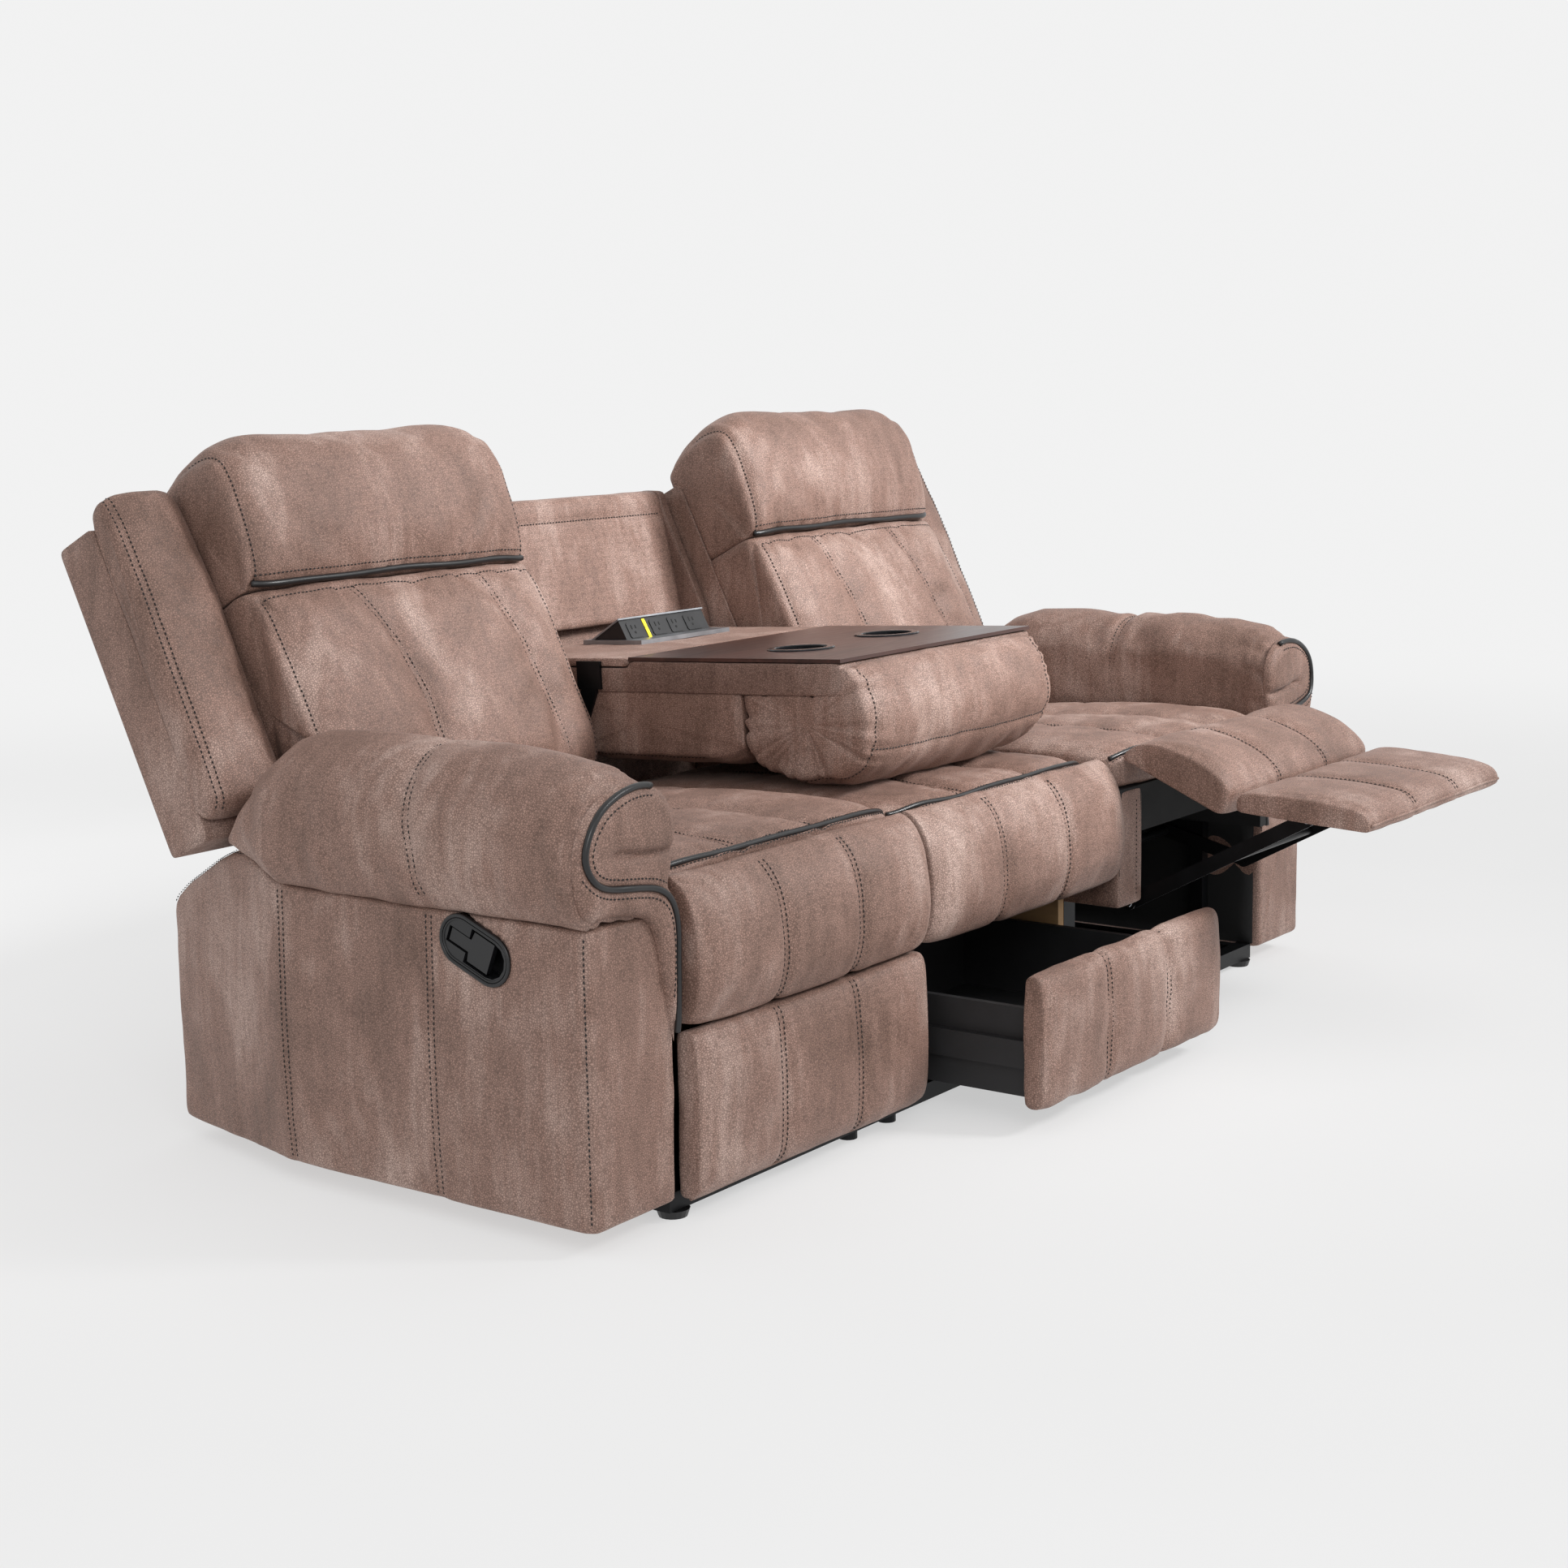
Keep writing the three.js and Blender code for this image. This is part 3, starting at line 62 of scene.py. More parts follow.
# Places: millimetres from the middle, the front of the arm panels and the floor
def row(points):
    placed = np.asarray(points, float) * MM
    placed[..., 1] += FRONT
    return placed


def turned(points, about, degrees):
    c, s = math.cos(math.radians(degrees)), math.sin(math.radians(degrees))
    dy, dz = points[..., 1] - about[0], points[..., 2] - about[1]
    return np.stack([points[..., 0], about[0] + dy * c + dz * s, about[1] - dy * s + dz * c], -1)


def shifted(points, y):
    return points + np.array([0.0, y, 0.0])


def plain(x, y, z):
    return np.stack([x, y, z], -1)


def on_back(x, t, s):
    y = BACK_FOOT[0] + s * math.sin(LEAN) - t * math.cos(LEAN)
    return plain(x, y, BACK_FOOT[1] + s * math.cos(LEAN) + t * math.sin(LEAN))


def height_on_back(points):
    dy, dz = points[..., 1] - BACK_FOOT[0], points[..., 2] - BACK_FOOT[1]
    return dy * math.sin(LEAN) + dz * math.cos(LEAN)


def on_console(x, y, z):
    return turned(plain(x, y + CONSOLE_PIVOT[0], z + CONSOLE_PIVOT[1]), CONSOLE_PIVOT, CONSOLE_TILT)


def open_seat(points):
    return shifted(points, -SEAT_SLIDE)


def open_chaise(points):
    return open_seat(turned(points, CHAISE_HINGE, CHAISE_TURN))


def open_footrest(points):
    return open_chaise(turned(points, FOOTREST_PIVOT, FOOTREST_TURN))


def flipped(points):
    return points * np.array([-1.0, 1.0, 1.0])


def sign_of(side):
    return -1.0 if side == "left" else 1.0


def slide_of(side):
    return SEAT_SLIDE if side == OPENED else 0


def side_place(side, place, move=None):
    def made(x, a, b):
        points = place(x, a, b)
        if side == "left":
            points = flipped(points)
        return move(points) if move and side == OPENED else points
    return made


# Smooth seeded noise on a lattice, from -1 to 1
LAYERS, CELLS = 12, 128
LATTICE = np.random.default_rng(7).random((LAYERS, CELLS, CELLS)) * 2 - 1


def noise2(x, y, seed=0):
    table = LATTICE[seed % LAYERS]
    x, y = np.asarray(x, float) + 17.3 * (seed // LAYERS), np.asarray(y, float)
    i, j = np.floor(x).astype(int), np.floor(y).astype(int)
    fx, fy = x - i, y - j
    fx, fy = fx * fx * (3 - 2 * fx), fy * fy * (3 - 2 * fy)
    a, b = table[i % CELLS, j % CELLS], table[(i + 1) % CELLS, j % CELLS]
    c, d = table[i % CELLS, (j + 1) % CELLS], table[(i + 1) % CELLS, (j + 1) % CELLS]
    return (a * (1 - fx) + b * fx) * (1 - fy) + (c * (1 - fx) + d * fx) * fy


def ridges(x, y, seed=0):
    return (1 - np.abs(noise2(x, y, seed))) ** 4


def smooth(x, low, high):
    t = np.clip((x - low) / (high - low), 0, 1)
    return t * t * (3 - 2 * t)


# Outlines from tables of shares of a box: rows of two are corners, rows of four are curves
def within(box, a, b):
    return box[0] + a * box[1], box[2] + b * box[3]


def outline(shares, box, steps=14):
    points = []
    for item in shares:
        spots = [within(box, *item[k:k + 2]) for k in range(0, len(item), 2)]
        if len(spots) == 1:
            points.append(spots[0])
            continue
        last = points[-1]
        for step in range(1, steps + 1):
            t = step / steps
            points.append(tuple(
                (1 - t) ** 2 * last[k] + 2 * t * (1 - t) * spots[0][k] + t * t * spots[1][k] for k in (0, 1)
            ))
    return points


def steps_along(points):
    return np.r_[0, np.cumsum(np.linalg.norm(np.diff(points, axis=0), axis=1))]


def resample(points, count, closed=True):
    p = np.array(points, float)
    if closed:
        p = np.vstack([p, p[:1]])
    steps = steps_along(p)
    at = np.linspace(0, steps[-1], count + 1)[:-1] if closed else np.linspace(0, steps[-1], count)
    return np.stack([np.interp(at, steps, p[:, k]) for k in range(p.shape[1])], -1)


def softened(points, rounds):
    p = np.array(points, float)
    for _ in range(rounds):
        p = p * 0.5 + (np.roll(p, 1, 0) + np.roll(p, -1, 0)) * 0.25
    return p


def softened_line(values, rounds):
    made = np.array(values, float)
    for _ in range(rounds):
        made[1:-1] = made[1:-1] * 0.5 + (made[:-2] + made[2:]) * 0.25
    return made


def perimeter(points):
    p = np.vstack([points, points[:1]])
    return np.linalg.norm(np.diff(p, axis=0), axis=1).sum()


def dense(path, step, size):
    p = np.array(path, float) * np.array([1.0, size])
    total = np.linalg.norm(np.diff(p, axis=0), axis=1).sum()
    made = resample(p, max(int(total / step), 2), closed=False)
    if len(p) > 2:
        made = softened_line(made, 3)
    return made / np.array([1.0, size])


def unit(vectors):
    return vectors / np.maximum(np.linalg.norm(vectors, axis=-1, keepdims=True), TINY)


def band(low, high):
    count = len(low)
    return [[low[k], low[(k + 1) % count], high[(k + 1) % count], high[k]] for k in range(count)]


def linked(name, data):
    made = bpy.data.objects.new(name, data)
    bpy.context.scene.collection.objects.link(made)
    return made


def removed(things):
    for thing in things:
        mesh = thing.data
        bpy.data.objects.remove(thing)
        bpy.data.meshes.remove(mesh)


def faced(mesh):
    work = bmesh.new()
    work.from_mesh(mesh)
    bmesh.ops.recalc_face_normals(work, faces=work.faces)
    work.to_mesh(mesh)
    work.free()
    mesh.update()
    return mesh


# A closed surface of rings with a cap at each end, in millimetres
class Skin:
    CAP_RINGS = (0.9, 0.75, 0.5, 0.25)
    CAP_BULGE = 2.0

    def __init__(self, points, length, around, section):
        self.p = np.array(points, float)
        self.length = np.array(length, float)
        self.size = around
        self.section = section

    def lengths(self):
        return np.broadcast_to(self.length[:, None], self.p.shape[:2])

    def arounds(self):
        count = self.p.shape[1]
        return np.broadcast_to(np.arange(count) / count, self.p.shape[:2])

    def normals(self):
        du = np.gradient(self.p, axis=0)
        dv = np.roll(self.p, -1, 1) - np.roll(self.p, 1, 1)
        n = unit(np.cross(du, dv))
        centre = self.p.mean(axis=1, keepdims=True)
        return n if ((self.p - centre) * n).sum() > 0 else -n

    def push(self, amount):
        self.p = self.p + self.normals() * amount[..., None]

    def share_of(self, a, b):
        d = np.linalg.norm(self.section - np.array([a, b]), axis=1)
        return int(np.argmin(d)) / len(self.section)

    def at(self, length, around):
        nu, nv = self.p.shape[:2]
        order = np.argsort(self.length)
        u = np.interp(length, self.length[order], np.arange(nu)[order])
        v = (around % 1.0) * nv
        i = np.clip(np.floor(u).astype(int), 0, nu - 2)
        j = np.floor(v).astype(int) % nv
        fu, fv = (u - i)[:, None], (v - np.floor(v))[:, None]
        k = (j + 1) % nv
        made = []
        for grid in (self.p, self.normals()):
            low = grid[i, j] * (1 - fv) + grid[i, k] * fv
            high = grid[i + 1, j] * (1 - fv) + grid[i + 1, k] * fv
            made.append(low * (1 - fu) + high * fu)
        return made

    def distance(self, path):
        x, y = self.lengths().ravel(), self.arounds().ravel() * self.size
        best = np.full(x.shape, 1e9)
        for a, b in dense(path, 6.0, self.size):
            dy = np.abs(y - b * self.size) % self.size
            best = np.minimum(best, np.hypot(x - a, np.minimum(dy, self.size - dy)))
        return best.reshape(self.p.shape[:2])

    def mesh(self, name):
        nu, nv = self.p.shape[:2]
        points = [self.p.reshape(-1, 3)]
        index = np.arange(nu * nv).reshape(nu, nv)
        a, b = index[:-1], index[1:]
        faces = np.stack([a, np.roll(a, -1, 1), np.roll(b, -1, 1), b], -1).reshape(-1, 4).tolist()
        for end, next_to in ((0, 1), (nu - 1, nu - 2)):
            edge = self.p[end]
            middle = edge.mean(0)
            direction = np.cross(edge[nv // 3] - edge[0], edge[2 * nv // 3] - edge[0])
            direction /= max(np.linalg.norm(direction), TINY)
            if ((edge - self.p[next_to]).mean(0) * direction).sum() < 0:
                direction = -direction
            last = index[end].tolist()
            start = sum(len(p) for p in points)
            cap = []
            for share in self.CAP_RINGS:
                points.append(middle + (edge - middle) * share + direction * self.CAP_BULGE * (1 - share ** 2))
                now = range(start, start + nv)
                cap += band(last, now)
                start += nv
                last = now
            points.append((middle + direction * self.CAP_BULGE)[None])
            cap += [[last[k], last[(k + 1) % nv], start] for k in range(nv)]
            faces += [face[::-1] if end == 0 else face for face in cap]
        made = bpy.data.meshes.new(name)
        made.from_pydata(row(np.concatenate(points)).tolist(), [], faces)
        made.validate()
        return faced(made)


def stations(count):
    t = np.linspace(0, 1, count)
    return t * 0.45 + (0.5 - 0.5 * np.cos(np.pi * t)) * 0.55


# How far a cushion is drawn in, by its distance from the nearer end
CROWN = np.array([[0, 1], [0.012, 0.6], [0.04, 0.3], [0.12, 0.1], [0.25, 0.02], [0.5, 0]])


def crown(along):
    half = np.minimum(along, 1 - along)
    return np.interp(np.sqrt(half), np.sqrt(CROWN[:, 0]), CROWN[:, 1])


# A cushion: one section along its width, drawn in towards the anchor at its ends and channels
def cushion(section, anchor, x0, x1, draw, place, channels=(), channel_depth=0.0, grain=GRAIN):
    outer = np.array(section, float)
    size = perimeter(outer)
    ring = softened(resample(outer, max(int(size / grain), 24)), 2)
    along = stations(max(int(abs(x1 - x0) / grain), 16))
    offset = ring - anchor
    draws = np.broadcast_to(np.array(draw, float), 4)
    dent = np.zeros_like(along)
    for channel in channels:
        dent = dent + channel_depth * np.exp(-(np.abs(along - channel) * abs(x1 - x0) / 9.0) ** 1.1)
    flat = np.empty((len(along), len(ring), 2))
    for axis in (0, 1):
        low = offset[:, axis] < 0
        reach = np.where(low, max(-offset[:, axis].min(), 1.0), max(offset[:, axis].max(), 1.0))
        amount = np.where(low, draws[2 * axis], draws[2 * axis + 1])
        inset = (crown(along)[:, None] * amount[None] + dent[:, None]) / reach[None]
        flat[..., axis] = anchor[axis] + offset[:, axis][None] * (1 - inset)
    x = x0 + along * (x1 - x0)
    points = place(np.broadcast_to(x[:, None], flat.shape[:2]), flat[..., 0], flat[..., 1])
    return Skin(points, x, size, ring)


# Materials
def node(tree, kind, **settings):
    made = tree.nodes.new(kind)
    for key, value in settings.items():
        if key.startswith("in_"):
            name = key[3:]
            made.inputs[int(name) if name.isdigit() else name].default_value = value
        else:
            setattr(made, key, value)
    return made


def material(name, **settings):
    made = bpy.data.materials.new(name)
    made.use_nodes = True
    shader = made.node_tree.nodes["Principled BSDF"]
    for key, value in settings.items():
        shader.inputs[key.replace("_", " ")].default_value = value
    return made, made.node_tree, shader


def rgb(*levels):
    return tuple((v / 255 / 12.92 if v <= 10 else ((v / 255 + 0.055) / 1.055) ** 2.4) for v in levels) + (1.0,)


def scaled(colour, by):
    return tuple(min(1, by * c) for c in colour[:3]) + (1,)


def grey(level):
    return (level, level, level, 1)


def ramp(tree, source, stops):
    made = tree.nodes.new("ShaderNodeValToRGB")
    for k, (at, colour) in enumerate(stops):
        stop = made.color_ramp.elements[k] if k < 2 else made.color_ramp.elements.new(at)
        stop.position, stop.color = at, colour
    tree.links.new(source, made.inputs[0])
    return made.outputs[0]


def mapped(tree, scale=(1, 1, 1)):
    spot = tree.nodes.new("ShaderNodeTexCoord")
    made = tree.nodes.new("ShaderNodeMapping")
    made.inputs["Scale"].default_value = scale
    tree.links.new(spot.outputs["Object"], made.inputs["Vector"])
    return made.outputs["Vector"]


def noise(tree, vector, scale, detail=2.0, roughness=0.5, distortion=0.0, output="Fac"):
    made = node(tree, "ShaderNodeTexNoise", in_Scale=scale, in_Detail=detail, in_Roughness=roughness,
                in_Distortion=distortion)
    tree.links.new(vector, made.inputs["Vector"])
    return made.outputs[output]


def mixed(tree, a, b, factor, mode="MIX"):
    made = tree.nodes.new("ShaderNodeMix")
    made.data_type, made.blend_type = "RGBA", mode
    made.inputs[0].default_value = factor
    tree.links.new(a, made.inputs[6])
    tree.links.new(b, made.inputs[7])
    return made.outputs[2]


def roughened(tree, shader, source, low, high):
    level = node(tree, "ShaderNodeMapRange", in_3=low, in_4=high)
    tree.links.new(source, level.inputs[0])
    tree.links.new(level.outputs[0], shader.inputs["Roughness"])


def bumped(tree, shader, source, strength, distance, before=None):
    made = node(tree, "ShaderNodeBump", in_Strength=strength, in_Distance=distance)
    tree.links.new(source, made.inputs["Height"])
    if before:
        tree.links.new(before, made.inputs["Normal"])
    tree.links.new(made.outputs["Normal"], shader.inputs["Normal"])
    return made.outputs["Normal"]


def leather(name, dark, mid, light, pebble=290.0):
    made, tree, shader = material(name, Sheen_Weight=0.12, Sheen_Roughness=0.45, Sheen_Tint=rgb(225, 200, 190),
                                  Specular_IOR_Level=0.42)
    link = tree.links.new
    even = mapped(tree)
    cloud = noise(tree, mapped(tree, (1.0, 1.0, 0.55)), 5.5, 3.0, 0.55, 0.5)
    streak = noise(tree, mapped(tree, (1.0, 1.0, 0.16)), 55.0, 2.0, 0.5, 0.3)
    blend = mixed(tree, mixed(tree, cloud, streak, 0.24), noise(tree, even, 17.0, 3.0), 0.12)
    colour = ramp(tree, blend, [(0.29, dark), (0.5, mid), (0.7, light)])
    wander = node(tree, "ShaderNodeVectorMath", operation="MULTIPLY_ADD", in_1=(0.004, 0.004, 0.004))
    link(noise(tree, even, 150.0, output="Color"), wander.inputs[0])
    link(even, wander.inputs[2])
    cell = node(tree, "ShaderNodeTexVoronoi", feature="DISTANCE_TO_EDGE", in_Scale=pebble, in_Randomness=0.85)
    link(wander.outputs[0], cell.inputs["Vector"])
    edges = cell.outputs["Distance"]
    # The grain's creases are darker and its tops lighter: grain tone, with painted shade in the creases and a painted
    # highlight on the tops
    pebble_shade_and_highlight = ramp(tree, edges, [(0.0, (0.34, 0.31, 0.29, 1)), (0.2, (0.92, 0.91, 0.9, 1)), (0.42, (1.14, 1.13, 1.12, 1))])
    fine = noise(tree, even, pebble * 2.2, 1.0)
    dust = ramp(tree, fine, [(0.36, (0.9, 0.89, 0.88, 1)), (0.62, (1.08, 1.07, 1.07, 1))])
    pebbled = mixed(tree, colour, pebble_shade_and_highlight, 0.9, "MULTIPLY")
    link(mixed(tree, pebbled, dust, 0.7, "MULTIPLY"), shader.inputs["Base Color"])
    roughened(tree, shader, streak, 0.5, 0.68)
    folds = bumped(tree, shader, noise(tree, even, 30.0, 3.0), 0.22, 0.003)
    bumped(tree, shader, edges, 0.6, 0.0012, folds)
    return made


def worn_plastic(name, colour, rough, bump=0.12, scale=900.0, metallic=0.0):
    made, tree, shader = material(name, Metallic=metallic)
    even = mapped(tree)
    smudge = noise(tree, even, 22.0, 4.0)
    tone = ramp(tree, smudge, [(0.3, scaled(colour, 0.8)), (0.7, scaled(colour, 1.15))])
    tree.links.new(tone, shader.inputs["Base Color"])
    roughened(tree, shader, smudge, rough - 0.08, rough + 0.1)
    bumped(tree, shader, noise(tree, even, scale), bump, 0.0003)
    return made


def grained(name, dark, light, rough, scale, stretch, bump, coat=0.0):
    made, tree, shader = material(name, Coat_Weight=coat, Coat_Roughness=0.25)
    along = mapped(tree, stretch)
    fibre = noise(tree, along, scale * 9, 3.0)
    middle = tuple((a + b) / 2 for a, b in zip(dark, light))
    tone = ramp(tree, noise(tree, along, scale, 6.0, 0.6, 0.6), [(0.28, dark), (0.5, middle), (0.75, light)])
    thread = ramp(tree, fibre, [(0.3, grey(0.72)), (0.7, grey(1))])
    tree.links.new(mixed(tree, tone, thread, 0.6, "MULTIPLY"), shader.inputs["Base Color"])
    roughened(tree, shader, fibre, rough - 0.06, rough + 0.12)
    bumped(tree, shader, fibre, bump, 0.0004)
    return made


LEATHER = leather("taupe_leather", rgb(106, 80, 68), rgb(146, 116, 104), rgb(190, 166, 156))
# The same leather made darker for the console band, the centre back flanges and the other CAD parts: painted shade
LEATHER_SHADE = leather("taupe_leather_painted_shade", rgb(99, 75, 65), rgb(134, 106, 95), rgb(168, 145, 135))
PIPING = worn_plastic("dark_piping", rgb(22, 21, 22), 0.34, 0.06, 500.0)
THREAD = worn_plastic("black_thread", rgb(14, 12, 13), 0.7, 0.3, 2600.0)
PLASTIC = worn_plastic("black_plastic", rgb(17, 17, 19), 0.36, 0.16)
RIM = worn_plastic("dark_cup_rim", rgb(44, 45, 48), 0.2, 0.04, 300.0, 0.6)
# Black lining; on the sheet under the sofa the same finish is partly painted shade
LINING_AND_SHADE = worn_plastic("black_lining_and_shade", rgb(17, 17, 18), 0.85, 0.5, 1500.0)
STEEL = worn_plastic("black_steel", rgb(24, 25, 27), 0.4, 0.1, 500.0, 0.7)
BOARD = worn_plastic("black_board", rgb(24, 24, 26), 0.62, 0.25, 700.0)
CHROME = worn_plastic("bright_steel", rgb(190, 192, 196), 0.2, 0.04, 300.0, 1.0)
SILVER = worn_plastic("silver_trim", rgb(150, 152, 156), 0.32, 0.06, 500.0, 0.75)
YELLOW = worn_plastic("yellow_stripe", rgb(236, 214, 20), 0.4, 0.05)
# Near-black for the outlet's slots: painted shade standing in for their holes
SLOT_SHADE = worn_plastic("painted_slot_shade", rgb(4, 4, 4), 0.8, 0.1)
LAMINATE = grained("walnut_laminate", rgb(34, 16, 12), rgb(74, 42, 34), 0.3, 16.0, (0.12, 1.6, 1.0), 0.06, 0.1)
PLYWOOD = grained("plywood", rgb(150, 112, 72), rgb(196, 160, 116), 0.7, 9.0, (1.0, 0.12, 1.0), 0.12)


# Objects
def add(mesh, name, body, finish, slot, *nodes, smooth=True, fill=None):
    made = linked(name, mesh)
    mesh.materials.append(finish)
    if smooth:
        mesh.polygons.foreach_set("use_smooth", [True] * len(mesh.polygons))
    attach(made, body)
    if nodes:
        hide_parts(*nodes)


def mesh_of(name, parts):
    points, faces, start = [], [], 0
    for p, f in parts:
        points.append(np.asarray(p))
        faces += [[k + start for k in face] for face in f]
        start += len(p)
    made = bpy.data.meshes.new(name)
    made.from_pydata(row(np.concatenate(points)).tolist(), [], faces)
    return faced(made)


def build(name, parts, body, finish, slot, *nodes, **settings):
    add(mesh_of(name, parts), name, body, finish, slot, *nodes, **settings)


def soft(skin, name, body, *nodes, finish=LEATHER):
    add(skin.mesh(name), name, body, finish, "leather", *nodes, fill=0.75)


def ring_of(count, sides):
    return range(count * sides, (count + 1) * sides)


def tube(path, radius, sides=10, closed=False):
    p = np.asarray(path, float)
    count = len(p)
    tangent = unit(np.roll(p, -1, 0) - np.roll(p, 1, 0) if closed else np.gradient(p, axis=0))
    side = np.zeros_like(p)
    guess = np.array([0.0, 0.0, 1.0]) if abs(tangent[0, 2]) < 0.9 else np.array([0.0, 1.0, 0.0])
    for k in range(count):
        guess = guess - tangent[k] * (guess @ tangent[k])
        guess /= max(np.linalg.norm(guess), TINY)
        side[k] = guess
    other = np.cross(tangent, side)
    angle = np.arange(sides) / sides * 2 * np.pi
    ring = side[:, None] * np.cos(angle)[None, :, None] + other[:, None] * np.sin(angle)[None, :, None]
    points = (p[:, None] + ring * radius).reshape(-1, 3)
    faces = []
    for k in range(count if closed else count - 1):
        faces += band(ring_of(k, sides), ring_of((k + 1) % count, sides))
    if not closed:
        faces += [list(range(sides))[::-1], list(ring_of(count - 1, sides))]
    return points, faces


# A line on a skin every few millimetres, lifted off it and moved aside, and the skin's normals there
def on_skin(skin, path, lift, aside=0.0):
    line = dense(path, 4.0, skin.size)
    p, n = skin.at(line[:, 0], line[:, 1])
    n = unit(n)
    return p + n * lift + np.cross(n, unit(np.gradient(p, axis=0))) * aside, n


STITCH, STITCH_SPACE, STITCH_RADIUS, STITCH_SINK = 6.4, 1.6, 1.5, 0.4
STITCH_FACES = [[0, 1, 2], [0, 2, 3], [4, 2, 1], [4, 3, 2], [0, 3, 1], [4, 1, 3]]
ONE_ROW = (0.0,)
TWO_ROWS = (-5.5, 5.5)


def stitch_parts(path, normals):
    steps = steps_along(path)
    parts = []
    at = STITCH_SPACE
    while at + STITCH < steps[-1]:
        ends = [np.array([np.interp(s, steps, path[:, k]) for k in range(3)]) for s in (at, at + STITCH)]
        n = np.array([np.interp(at, steps, normals[:, k]) for k in range(3)])
        t = ends[1] - ends[0]
        t /= max(np.linalg.norm(t), TINY)
        w = np.cross(n, t) * STITCH_RADIUS
        middle = (ends[0] + ends[1]) / 2
        sunk = n * STITCH_SINK
        p = [ends[0] - sunk, middle + w, middle + n * STITCH_RADIUS, middle - w, ends[1] - sunk]
        parts.append((np.array(p), STITCH_FACES))
        at += STITCH + STITCH_SPACE
    return parts


def sew(skin, name, body, paths, rows=TWO_ROWS, lift=1.0):
    parts = []
    for path in paths:
        for aside in rows:
            parts += stitch_parts(*on_skin(skin, path, lift, aside))
    build(name, parts, body, THREAD, "leather", smooth=False)


# A line made fair: each coordinate is fitted by a polynomial along its length
def fair(line, degree=9):
    share = np.linspace(-1, 1, len(line))
    fit = np.polynomial.legendre.legfit(share, line, min(degree, len(line) - 1))
    return np.polynomial.legendre.legval(share, fit).T


def pipe(skin, name, body, path, radius, lift, finish=PIPING):
    build(name, [tube(fair(on_skin(skin, path, lift)[0]), radius)], body, finish, "leather")


def groove(skin, path, depth, width):
    d = skin.distance(path)
    return -depth * np.exp(-(d / width) ** 1.3)


def grooves(skin, paths, depth, width):
    for path in paths:
        skin.push(groove(skin, path, depth, width))


def lumps(skin, seed, small, large):
    x, y = skin.lengths(), skin.arounds() * skin.size
    return large * noise2(x / 130, y / 130, seed) + small * noise2(x / 42, y / 42, seed + 3)


def gathers(skin, share, seed, depth, reach, spacing, sign):
    x, y = skin.lengths(), (skin.arounds() - share) * skin.size
    y = (y + skin.size / 2) % skin.size - skin.size / 2
    away = np.clip(y * sign, 0, None)
    fade = np.where(y * sign >= 0, np.exp(-away / reach), np.exp(-np.abs(y) / 6.0))
    lean = noise2(x / 190, away / 160, seed + 5) * 26
    return -depth * ridges((x + lean * away / reach) / spacing, away / 190, seed) * fade


# How firmly each point is held: along seams, at the ends and where the pad rests
def held_ends(skin):
    x = skin.length
    return np.clip(1.4 - np.minimum(np.abs(x - x[0]), np.abs(x - x[-1])) / 9.0, 0, 1)[:, None]


def held(skin, paths, rests):
    weight = np.zeros(skin.p.shape[:2])
    for path in paths:
        weight = np.maximum(weight, np.clip(1.6 - skin.distance(path) / 7.0, 0, 1))
    weight = np.maximum(weight, held_ends(skin))
    for axis, limit, sign in rests:
        near = (skin.section[:, axis] - limit) * sign < 5.0
        weight = np.maximum(weight, np.where(near, 1.0, 0.0)[None])
    return weight


CLOTH = {
    "quality": 4, "mass": 0.4, "tension_stiffness": 14, "compression_stiffness": 14, "shear_stiffness": 5,
    "bending_stiffness": 3.0, "use_pressure": True, "vertex_group_mass": "held",
}
CLOTH_FRAMES = 20
HOLD_LEVELS = 8


def hang(skin, name, weight, pressure, growth):
    mesh = skin.mesh(f"{name}_loose")
    made = linked(mesh.name, mesh)
    group = made.vertex_groups.new(name="held")
    flat = np.ones(len(mesh.vertices))
    flat[:weight.size] = weight.ravel()
    levels = np.round(flat * HOLD_LEVELS).astype(int)
    for level in range(1, HOLD_LEVELS + 1):
        group.add(np.flatnonzero(levels == level).tolist(), level / HOLD_LEVELS, "REPLACE")
    cloth = made.modifiers.new("cloth", "CLOTH")
    for key, value in CLOTH.items():
        setattr(cloth.settings, key, value)
    cloth.settings.uniform_pressure_force = pressure
    cloth.settings.shrink_min = -growth
    cloth.settings.effector_weights.gravity = 0
    cloth.collision_settings.use_collision = False
    cloth.point_cache.frame_start, cloth.point_cache.frame_end = 1, CLOTH_FRAMES
    return made


def eased(moved, rounds):
    for _ in range(rounds):
        moved = moved * 0.5 + (np.roll(moved, 1, 1) + np.roll(moved, -1, 1)) * 0.25
        moved = softened_line(moved, 1)
    return moved


# Each piece is a generator: it yields its skin to be settled, and then builds its cover and seams
def settle(pieces):
    waiting = [(piece, next(piece)) for piece in pieces]
    scene = bpy.context.scene
    loose = [hang(*order[:5]) for _, order in waiting]
    for frame_number in range(1, CLOTH_FRAMES + 1):
        scene.frame_set(frame_number)
    graph = bpy.context.evaluated_depsgraph_get()
    for made, (_, (skin, _, weight, _, _, cap)) in zip(loose, waiting):
        shape = made.evaluated_get(graph).to_mesh()
        points = np.empty(len(shape.vertices) * 3)
        shape.vertices.foreach_get("co", points)
        points = points.reshape(-1, 3)[:weight.size].reshape(skin.p.shape)
        points[..., 1] -= FRONT
        moved = points / MM - skin.p
        far = np.linalg.norm(moved, axis=-1, keepdims=True)
        moved = eased(moved * cap * np.tanh(far / cap) / np.maximum(far, 1e-6), 3)
        low, high = skin.p[..., 0].min(), skin.p[..., 0].max()
        skin.p = skin.p + moved
        skin.p[..., 0] = np.clip(skin.p[..., 0], low, high)
    removed(loose)
    scene.frame_set(1)
    for piece, _ in waiting:
        for _ in piece:
            pass


